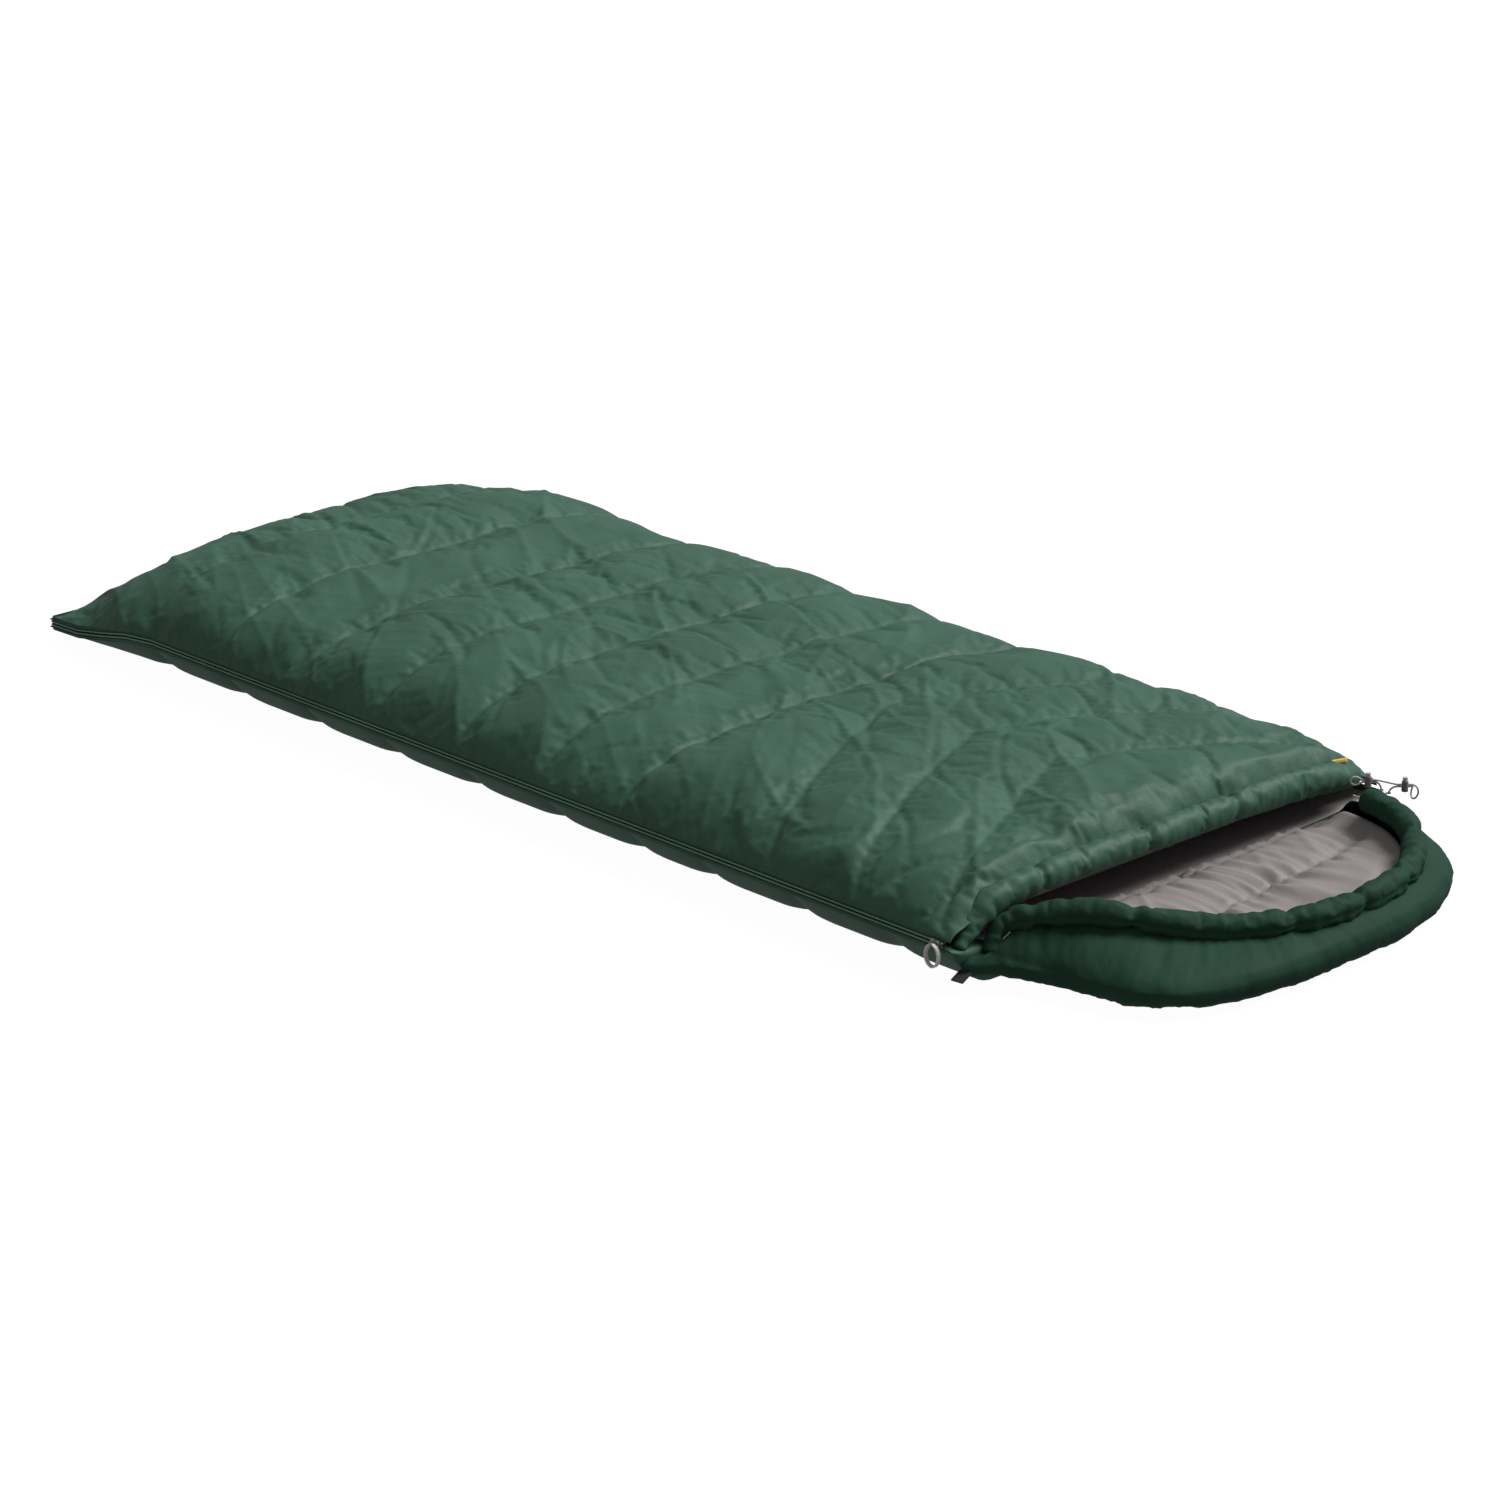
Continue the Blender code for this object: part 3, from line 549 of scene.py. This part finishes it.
def creases(point):
    """Fine slanted creases in patches."""
    x, y = point.x, point.y
    swell = 0.0
    for tilt, shift in ((0.45, 3.0), (-0.60, 11.0), (1.15, 23.0)):
        along = x * cos(tilt) - y * sin(tilt)
        cross = x * sin(tilt) + y * cos(tilt)
        patch = smoothstep(0.35 + 1.6 * noise.noise(Vector((x * 3.1 + shift, y * 4.3, shift))))
        swell += patch * ridge(along * 4.0 + shift, cross * 27.0, shift) ** 3
    return CREASE_DEPTH * (swell - 0.3)


def refined(rows):
    """The grid with twice as many points each way, on smooth curves through the old ones."""
    def halved(line):
        found = []
        for k in range(len(line) - 1):
            a, b, c, d = (line[max(0, k - 1)], line[k], line[k + 1], line[min(len(line) - 1, k + 2)])
            found += [b, (9 * (b + c) - a - d) / 16]
        return found + [line[-1]]
    longer = [halved(row) for row in rows]
    columns = [halved([row[j] for row in longer]) for j in range(len(longer[0]))]
    return [[column[i] for column in columns] for i in range(len(columns[0]))]


def edge_fade(i, j, rows, columns, reach=3):
    """0 on the border of a grid, 1 from the reach-th line inwards."""
    return smoothstep(min(i, rows - i, j, columns - j) / reach)


def big_folds(point):
    """The large soft creases that cross the cover."""
    x, y = point.x, point.y
    tilt = 0.55
    along = x * cos(tilt) - y * sin(tilt)
    across = x * sin(tilt) + y * cos(tilt)
    wave = ridge(along * 3.2 + 4.0, across * 9.0 + 1.3, 2.2) ** 3
    wave -= 0.5 * ridge(along * 4.5 + 9.0, across * 11.0 + 7.3, 5.1) ** 3
    swell = 0.0045 * wave
    swell += 0.0030 * noise.noise(Vector((x * 7.0, y * 9.0, 8.0)))
    swell += 0.0014 * noise.noise(Vector((x * 21.0, y * 26.0, 3.0)))
    corner = smoothstep((x - 0.56) / 0.12) * smoothstep((-0.14 - y) / 0.12)
    swell -= 0.0060 * corner * ridge((x - 0.3 * y) * 15.0, y * 4.0, 9.0) ** 3
    return swell


def cover_swell(point, i, j):
    swell = quilt_depth(point, puff=0.0055) + FOLD_STRENGTH * big_folds(point)
    return swell * edge_fade(i, j, COVER_ROWS, COVER_COLUMNS)


def simulated_cover_rows():
    """The cover's grid after its cloth has swelled between the quilt seams."""
    rows = [cover_section(x, COVER_COLUMNS) for x in rows_along(FOOT_X, NECK_END, COVER_ROWS)]
    rows = pushed(rows, cover_swell)
    cloth = grid_object("cover_cloth", rows, shell_look)
    held = {}
    for i, row in enumerate(rows):
        for j, point in enumerate(row):
            on_seam = nearest_seam(point.x, point.y)[0] < SEAM_HOLD
            if on_seam or min(i, j, COVER_ROWS - i, COVER_COLUMNS - j) == 0:
                held[i * len(row) + j] = 1.0
    puff_up(cloth, held, pressure=2.3, spare=0.018, cap=0.010)
    points = [vert.co.copy() for vert in cloth.data.vertices]
    bpy.data.objects.remove(cloth)
    width = COVER_COLUMNS + 1
    return [points[start:start + width] for start in range(0, len(points), width)]


def make_cover():
    rows = simulated_cover_rows()
    rows = refined(rows)
    last_row, last_column = len(rows) - 1, len(rows[0]) - 1
    rows = pushed(rows, lambda point, i, j: (puckers(point) + creases(point))
                  * edge_fade(i, j, last_row, last_column, reach=6))
    cover = grid_object("cover_shell_look", rows, shell_look)
    thicken(cover, SHELL_THICKNESS)
    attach(cover, "cover")
    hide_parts("cover_outer_shell", *[f"cover_fill_{n:02d}" for n in CHAMBERS])


make_cover()


# ---- base of the bag ----
def base_bottom(x, y):
    """Height of the underside: flat in the middle, curving up to the seam all round."""
    side = max(0.0, (abs(y) / HALF_WIDTH - (1 - UNDERCUT)) / UNDERCUT)
    foot = max(0.0, (FOOT_X + 0.06 - x) / 0.06)
    reach = min(1.0, (side ** 3 + foot ** 3) ** (1 / 3))
    return (seam_height(x) - half_gap(x, y)) * reach ** 2.2


def dome(x, y, power):
    """0 on the long edges and the foot edge, 1 over the middle of the bag."""
    across = max(0.0, 1 - (abs(y) / HALF_WIDTH) ** power) ** 0.55
    inset = min(1.0, max(0.0, (x - FOOT_X) / 0.28))
    along = max(0.0, 1 - (1 - inset) ** 2.2) ** 0.6
    return across * along


def cover_lining_z(x, y):
    """Height of the cover's lining over the sleeper's space."""
    edge = seam_height(x) + half_gap(x, y)
    neck_drop = 0.008 * smoothstep((x - 0.42) / (NECK_X - 0.42))
    rise = COVER_LINING_Z - neck_drop - edge
    return edge + rise * dome(x, y, 5.0) * smoothstep((x - FOOT_X) / 0.14)


def base_lining_z(x, y):
    """Height of the lining that the sleeper lies on."""
    edge = seam_height(x) - half_gap(x, y)
    return edge + (BASE_LINING_Z - edge) * dome(x, y, 3.2)


def cover_end_z(x, y):
    """Height of the cover's outer cloth near the head."""
    lift = (1 - (abs(y) / HALF_WIDTH) ** 4) ** (0.52 if y < 0 else 0.45)
    edge = SEAM_Z + half_gap(x, y)
    return edge + (loft(x) - edge) * lift


def panel_rows(height, start, end, rows, columns, half_width, outside=False):
    """A grid over the bag, with lines of it close together near the long edges."""
    grid = []
    for x in rows_along(start, end, rows, crowd=2.0):
        line = []
        for k in range(columns + 1):
            y = half_width * sin(pi * (k / columns - 0.5))
            line.append(Vector((x, y - (near_bulge(y) if outside else 0.0), height(x, y))))
        grid.append(line)
    return grid


def rest_on_ground(rows):
    """Lifts whatever lies under the ground up to it."""
    for row in rows:
        for point in row:
            point.z = max(point.z, 0.0)


def base_swell(point, i, j):
    swell = -quilt_depth(point, BASE_SEAMS, [], puff=0.010, reach=0.050)
    return swell * edge_fade(i, j, BASE_ROWS, PANEL_COLUMNS)


def base_neck_rows(edge):
    """Rows that close the base's head end up to the lining, and a short hem at the near corner."""
    rows = []
    for share in (0.25, 0.50, 0.75, 1.0):
        row = []
        for point in edge:
            top = base_lining_z(point.x, point.y) + 0.001
            x = point.x + 0.004 * sin(share * pi / 2)
            row.append(Vector((x, point.y, point.z + (top - point.z) * share)))
        rows.append(row)
    for _ in range(3):
        row = []
        for point in rows[-1]:
            fold = smoothstep((-point.y - 0.32) / 0.04)
            row.append(Vector((point.x - 0.010 * fold, point.y, point.z + 0.0012 * fold)))
        rows.append(row)
    return rows


def make_base():
    rows = panel_rows(base_bottom, FOOT_X, base_high.x, BASE_ROWS, PANEL_COLUMNS, HALF_WIDTH, outside=True)
    rows = pushed(rows, base_swell)
    rest_on_ground(rows)
    rows += base_neck_rows(rows[-1])
    base = grid_object("base_shell_look", [row[::-1] for row in rows], shell_look)
    thicken(base, SHELL_THICKNESS)
    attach(base, "base")
    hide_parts("base_outer_shell", *[f"base_fill_{n:02d}" for n in CHAMBERS])


make_base()


# ---- linings of base and cover ----
def cover_lining_end(edge):
    """Rows that close the lining's head end up to the outer cloth."""
    rows = []
    for share in (0.5, 1.0):
        x = NECK_X + 0.012 * share
        row = []
        for point in edge:
            top = cover_end_z(x, point.y) - 0.005
            row.append(Vector((x, point.y, point.z + (top - point.z) * share)))
        rows.append(row)
    return rows


def make_lining(body, height, end, side):
    """The lining of one half of the bag. Its quilting bulges up for side 1 and down for side -1."""
    def swell(point, i, j):
        depth = side * quilt_depth(point, BASE_SEAMS, [], puff=0.008) - 0.5 * abs(big_folds(point))
        return depth * edge_fade(i, j, LINING_ROWS, PANEL_COLUMNS, reach=10) - 0.001

    half_width = HALF_WIDTH - LINING_INSET
    rows = panel_rows(height, FOOT_X + 0.006, end, LINING_ROWS, PANEL_COLUMNS, half_width)
    rows = pushed(rows, swell)
    if side < 0:
        rows += cover_lining_end(rows[-1])
        rows = [row[::-1] for row in rows]
    lining = grid_object(f"{body}_lining_look", rows, lining_look)
    thicken(lining, LINING_THICKNESS)
    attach(lining, body)
    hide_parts(f"{body}_lining")


make_lining("base", base_lining_z, base_high.x, side=1)
make_lining("cover", cover_lining_z, NECK_X, side=-1)


# ---- hood ----
HOOD_LENGTH = hood_high.x - HOOD_X + 0.0015
HOOD_HALF_WIDTH = hood_high.y
RIM_LENGTH = 0.255
RIM_NEAR, RIM_FAR = 0.290, 0.292
RIM_Z = 0.0905
HOOD_LINING_Z = 0.045
HOOD_SAG = 0.6
NEAR_TUCK = 0.036
NEAR_FLARE = 0.022
NEAR_LIFT = 0.010
# Roundness of each outline on its near side and on its far side.
WALL_ROUNDNESS = (3.0, 2.45)
RIM_ROUNDNESS = (1.6, 2.6)


def superellipse(angle, length, half_width, roundness):
    """A point of the hood's outline. Angle runs from -90 degrees, near, to 90 degrees, far."""
    c, s = cos(angle), sin(angle)
    reach = (abs(c) ** roundness + abs(s) ** roundness) ** (-1 / roundness)
    return Vector((HOOD_X + length * reach * c, half_width * reach * s, 0.0))


def rim_outline(angle):
    """The middle line of the rim tube, seen from above."""
    if angle < 0:
        return superellipse(angle, RIM_LENGTH, RIM_NEAR, RIM_ROUNDNESS[0])
    return superellipse(angle, RIM_LENGTH, RIM_FAR, RIM_ROUNDNESS[1])


def hood_z(angle, z):
    """Height z of the hood's sides, lowered towards the crown."""
    share = HOOD_SAG + (1 - HOOD_SAG) * smoothstep((abs(angle) - radians(30)) / radians(35))
    return z if z <= HOOD_LINING_Z else HOOD_LINING_Z + (z - HOOD_LINING_Z) * share


def hood_point(angle, scale, pull, z, clearance=0.0):
    """A point of the hood at height z: pulled from the wall's outline to the rim's, then scaled."""
    wall = superellipse(angle, HOOD_LENGTH, HOOD_HALF_WIDTH, WALL_ROUNDNESS[0 if angle < 0 else 1])
    rim = rim_outline(angle)
    from_neck = wall.x - HOOD_X
    if angle < 0:
        past_tuck = max(0.0, from_neck - 0.14)
        wall.y += NEAR_TUCK * smoothstep(from_neck / 0.100) * exp(-(past_tuck / 0.08) ** 2)
        wall.y -= NEAR_FLARE * (1 - smoothstep(from_neck / 0.030))
    pull *= 1 - clearance / (wall - rim).length
    middle = Vector((HOOD_X, 0.0, 0.0))
    point = middle + (wall.lerp(rim, pull) - middle) * scale
    ramp = smoothstep((point.x - HOOD_X) / (0.025 if angle < 0 else 0.055 - 0.040 * point.y))
    low = min(z, HOOD_LINING_Z)
    point.z = low + (hood_z(angle, z) - low) * ramp
    if angle < 0 and z < HOOD_LINING_Z:
        lift = NEAR_LIFT * exp(-(from_neck / 0.10) ** 2) * smoothstep((scale - 0.62) / 0.33)
        point.z += lift * (1 - smoothstep(z / HOOD_LINING_Z))
    point.x = max(point.x, HOOD_X)
    return point


def hood_rows(profile, columns, rows, clearance=0.0):
    """A grid round the hood. Each point of the profile is a scale, a pull and a height."""
    fine = spline_points(profile, 0.01)
    picks = []
    for n in range(rows + 1):
        place = n / rows * (len(fine) - 1)
        k = min(int(place), len(fine) - 2)
        picks.append(fine[k].lerp(fine[k + 1], place - k))
    grid = []
    for n in range(columns + 1):
        angle = pi * (n / columns - 0.5)
        grid.append([hood_point(angle, pick.x, pick.y, pick.z, clearance) for pick in picks])
    return grid


def wall_push(point, i, _):
    """Puffed wall with a slanted quilt seam, and gathers near the two ends."""
    angle = (i / WALL_COLUMNS - 0.5) * pi
    height = point.z
    away = abs(height - 0.008 + 0.0504 * (angle + radians(40))) if angle < -radians(38) else 1.0
    swell = 0.0040 * (1 - exp(-away / 0.009)) - 0.0040
    gathers = noise.noise(Vector((angle * 40 + height * 150, height * 22, 3.0)))
    swell += 0.0032 * gathers * exp(-away / 0.016) * smoothstep(away / 0.003)
    near = smoothstep((-angle - radians(55)) / radians(30))
    near += 0.6 * smoothstep((angle - radians(62)) / radians(24))
    swell += 0.0045 * near * noise.noise(Vector((angle * 26 + height * 60, height * 14, 1.0)))
    swell += 0.0025 * noise.noise(Vector((angle * 9.0, height * 30, 6.0)))
    swell += 0.0012 * noise.noise(Vector((angle * 40.0, height * 60, 2.0)))
    return swell if height > 0.001 else 0.0


def make_hood_wall():
    profile = [(0.30, 0.0, 0.0), (0.80, 0.0, 0.0), (0.93, 0.0, 0.006), (0.985, 0.0, 0.018),
               (1.0, 0.02, 0.032), (1.0, 0.16, 0.047), (1.0, 0.38, 0.059), (1.0, 0.62, 0.068),
               (1.0, 0.84, 0.073), (1.0, 1.0, 0.081)]
    rows = pushed(hood_rows(profile, WALL_COLUMNS, WALL_ROWS, clearance=0.001), wall_push)
    rest_on_ground(rows)
    # The wall's darker colour is painted shade, carried by the darkened hood cloth.
    wall = grid_object("hood_shell_look", rows, hood_painted_shade_look)
    thicken(wall, SHELL_THICKNESS)
    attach(wall, "base")
    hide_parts("hood_outer_shell", "hood_fill")


make_hood_wall()


def hood_lining_push(point, _, j):
    """Puffed lining with two quilt seams, gathered along them and loose beyond the outer one."""
    seams = [0.900 - 0.09 * point.y, 0.795]
    away = min(abs(point.x - seam) for seam in seams)
    swell = 0.009 * (sqrt(max(0.0, 1 - (1 - min(1.0, away / 0.045)) ** 2)) - 0.4)
    gathers = noise.noise(Vector((point.y * 55, point.x * 8, 4.0)))
    gathers += 0.5 * noise.noise(Vector((point.y * 110, point.x * 14, 1.0)))
    swell += 0.0080 * gathers * exp(-away / 0.050) * smoothstep(away / 0.004)
    swell += 0.0045 * noise.noise(Vector((point.x * 16, point.y * 11, 7.0)))
    beyond = smoothstep((point.x - seams[0]) / 0.02)
    swell += beyond * 0.0085 * (ridge(point.y * 9.0 + 2.0, point.x * 3.0, 6.5) ** 2 - 0.3)
    swell += (1 - beyond) * 0.0030 * ridge(point.y * 16.0 + point.x * 9.0, point.x * 6.0, 1.5) ** 3
    return swell * smoothstep(j / (4 * FINE))


def make_hood_lining():
    profile = [(0.02, 1.0, HOOD_LINING_Z), (0.50, 1.0, 0.046), (0.75, 1.0, 0.050), (0.88, 1.0, 0.057),
               (0.96, 1.0, 0.070)]
    rows = [row[::-1] for row in hood_rows(profile, 60 * FINE, 30 * FINE)]
    rows = pushed(rows, hood_lining_push)
    lining = grid_object("hood_lining_look", rows, lining_look)
    thicken(lining, LINING_THICKNESS)
    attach(lining, "base")
    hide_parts("hood_lining")


make_hood_lining()


# ---- padded tubes ----
COLLAR_RADIUS = 0.0185
RIM_RADIUS = 0.0165
COLLAR_PINCHES = (0.21, 0.45, 0.67)
RIM_PINCHES = (0.10, 0.24, 0.47, 0.60, 0.72, 0.86)
PINCH_DEPTH = 0.0050
SEAM_TURN = 0.03


def tube_rows(path, radius):
    """Rings round a path, with their first point underneath."""
    rows = []
    for k, point in enumerate(path):
        tangent = (path[min(k + 1, len(path) - 1)] - path[max(k - 1, 0)]).normalized()
        side = tangent.cross(Vector((0, 0, 1))).normalized()
        up = side.cross(tangent).normalized()
        size = radius(k / (len(path) - 1))
        ring = []
        for n in range(TUBE_AROUND):
            angle = 2 * pi * n / TUBE_AROUND
            ring.append(point + side * (sin(angle) * size) - up * (cos(angle) * size))
        rows.append(ring)
    return rows


def seam_turn(n, seam):
    """Share of a turn between point n of a ring and the seam."""
    return abs((n - seam + TUBE_AROUND / 2) % TUBE_AROUND - TUBE_AROUND / 2) / TUBE_AROUND


def near_gathers(t):
    """Depth of a tube's gathers, deeper towards its near end."""
    return 0.0023 + 0.0035 * smoothstep((0.16 - t) / 0.16)


def padded_tube(name, path, radius, look, seam_at, pinches):
    """A stuffed tube of cloth, gathered along a stitched line and pinched at some places."""
    rows = tube_rows(path, radius)
    seam = round(seam_at * TUBE_AROUND) % TUBE_AROUND
    for k, ring in enumerate(rows):
        centre = path[k]
        for n, point in enumerate(ring):
            turn = seam_turn(n, seam)
            crease = noise.noise(Vector((k * 0.42, turn * 2.2, 5.0)))
            crease += 0.5 * noise.noise(Vector((k * 0.95, turn * 3.0, 9.0)))
            place = k / (len(rows) - 1)
            amount = near_gathers(place) * crease * (1.15 - 1.2 * turn)
            for pinch in pinches:
                amount -= PINCH_DEPTH * exp(-((place - pinch + 0.02 * turn) / 0.009) ** 2)
            if turn < SEAM_TURN:
                amount -= 0.0022
            ring[n] = point + (point - centre).normalized() * amount
    obj = grid_object(name, rows, look, closed=True)
    bm = bmesh.new()
    bm.from_mesh(obj.data)
    rims = [edge for edge in bm.edges if edge.is_boundary]
    bmesh.ops.holes_fill(bm, edges=rims, sides=TUBE_AROUND + 1)
    bmesh.ops.recalc_face_normals(bm, faces=bm.faces)
    for face in bm.faces:
        face.smooth = True
    bm.to_mesh(obj.data)
    bm.free()
    held = {}
    for k in range(len(rows)):
        for n in range(TUBE_AROUND):
            if seam_turn(n, seam) < SEAM_TURN or k < 2 or k > len(rows) - 3:
                held[k * TUBE_AROUND + n] = 1.0
    puff_up(obj, held, pressure=6.0, spare=0.03, cap=0.006)
    subdivide(obj)
    return obj


def rim_path():
    """The middle of the rim tube: round the hood, with a tight bend to the near corner."""
    points = []
    for n in range(121):
        angle = radians(82) * (2 * n / 120 - 1)
        point = rim_outline(angle)
        point.z = hood_z(angle, RIM_Z) - 0.006 * (1 - smoothstep((point.x - HOOD_X) / 0.070))
        points.append(point)
    near_end = [(0.797, -0.350, 0.042), (0.794, -0.338, 0.060), (0.798, -0.316, 0.077)]
    return resample(spline_points(near_end + points[7::6], 0.004), TUBE_STEP)


def collar_path():
    """The middle of the collar tube, from the near corner to the far corner."""
    knots = [(0.780, -0.386, 0.052), (0.776, -0.362, 0.073), (0.774, -0.324, 0.094),
             (0.779, -0.260, 0.106), (0.786, -0.150, 0.111), (0.789, 0.000, 0.111),
             (0.787, 0.150, 0.109), (0.785, 0.270, 0.102), (0.7845, 0.350, 0.089)]
    return spline_points(knots, TUBE_STEP)


def collar_radius(t):
    """Radius of the collar tube at share t of its length, slimmer at both ends."""
    near_share = 0.45 + 0.55 * smoothstep(t / 0.10)
    return COLLAR_RADIUS * near_share * (1 - 0.35 * smoothstep((t - 0.94) / 0.06))


def rim_radius(t):
    """Radius of the rim tube at share t of its length, slimmer at the near end."""
    return RIM_RADIUS * (0.60 + 0.40 * smoothstep(t / 0.10))


def make_collar():
    collar = padded_tube("neck_collar_look", collar_path(), collar_radius, shell_look,
                         seam_at=0.75, pinches=COLLAR_PINCHES)
    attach(collar, "cover")
    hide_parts("neck_collar")


def make_rim():
    # The rim wears the same darkened hood cloth, whose colour is painted shade.
    rim = padded_tube("hood_rim_look", rim_path(), rim_radius, hood_painted_shade_look,
                      seam_at=0.25, pinches=RIM_PINCHES)
    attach(rim, "base")
    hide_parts("hood_rim")


make_collar()
make_rim()


# ---- side tab ----
TAB_X = 0.768
TAB_NEAR_Y, TAB_WIDTH = 0.3165, 0.037
TAB_TOP_Z, TAB_FALL = 0.1135, 0.0050
TAB_HEIGHT = 0.006


def make_side_tab():
    """A label tape standing in the seam between cover and collar, near the far corner."""
    rows = []
    for n in range(13):
        share = n / 12
        y = TAB_NEAR_Y + TAB_WIDTH * share
        bottom = TAB_TOP_Z - TAB_FALL * share - TAB_HEIGHT
        rows.append([Vector((TAB_X, y, bottom + TAB_HEIGHT * k / 3)) for k in range(4)])
    tab = grid_object("side_tab_look", rows, yellow_look)
    thicken(tab, SHELL_THICKNESS)
    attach(tab, "cover")
    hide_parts("side_tab")


make_side_tab()


# ---- CAD nodes that keep their shape ----
for look, names in ((tape_look, ("zip_tape_lower", "zip_tape_upper")),
                    (coil_look, ("zip_coil_lower", "zip_coil_upper")),
                    (metal_look, ("zip_top_stop_lower", "zip_top_stop_upper", "zip_end_stop", "zip_slider",
                                  "cord_eyelet_1", "cord_eyelet_2")),
                    (pull_look, ("zip_pull",)),
                    (cord_look, ("drawcord_in_rim",)),
                    (lining_look, ("zip_baffle",)),
                    (lock_look, ("cord_lock_1_body", "cord_lock_2_body")),
                    (button_look, ("cord_lock_1_plunger", "cord_lock_2_plunger")),
                    (black_look, ("hook_tab",))):
    for name in names:
        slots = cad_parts[name].data.materials
        slots.clear()
        slots.append(look)


# ---- floor and light ----
def studio():
    """A plain white floor, even light from all round and a soft sun from the far side."""
    bm = bmesh.new()
    bmesh.ops.create_grid(bm, x_segments=1, y_segments=1, size=40.0)
    mesh = bpy.data.meshes.new("floor")
    bm.to_mesh(mesh)
    bm.free()
    look = bpy.data.materials.new("floor_white")
    look.use_nodes = True
    surface = look.node_tree.nodes["Principled BSDF"]
    surface.inputs["Base Color"].default_value = (0.06, 0.06, 0.06, 1.0)
    surface.inputs["Roughness"].default_value = 0.9
    surface.inputs["Emission Color"].default_value = (1.0, 1.0, 1.0, 1.0)
    surface.inputs["Emission Strength"].default_value = 0.97
    floor = add_object("floor", mesh, look)
    floor.location.z = -0.0005
    floor.visible_diffuse = False
    floor.visible_glossy = False
    world = bpy.data.worlds.new("studio")
    world.use_nodes = True
    world.node_tree.nodes["Background"].inputs["Color"].default_value = (1.0, 1.0, 1.0, 1.0)
    world.node_tree.nodes["Background"].inputs["Strength"].default_value = 0.27
    bpy.context.scene.world = world
    data = bpy.data.lights.new("key", "SUN")
    data.energy = 3.7
    data.angle = radians(35)
    lamp = bpy.data.objects.new("key", data)
    lamp.rotation_euler = Vector((0.22, 0.60, 0.77)).to_track_quat("Z", "Y").to_euler()
    bpy.context.scene.collection.objects.link(lamp)


studio()
bpy.context.scene.view_settings.view_transform = "Standard"
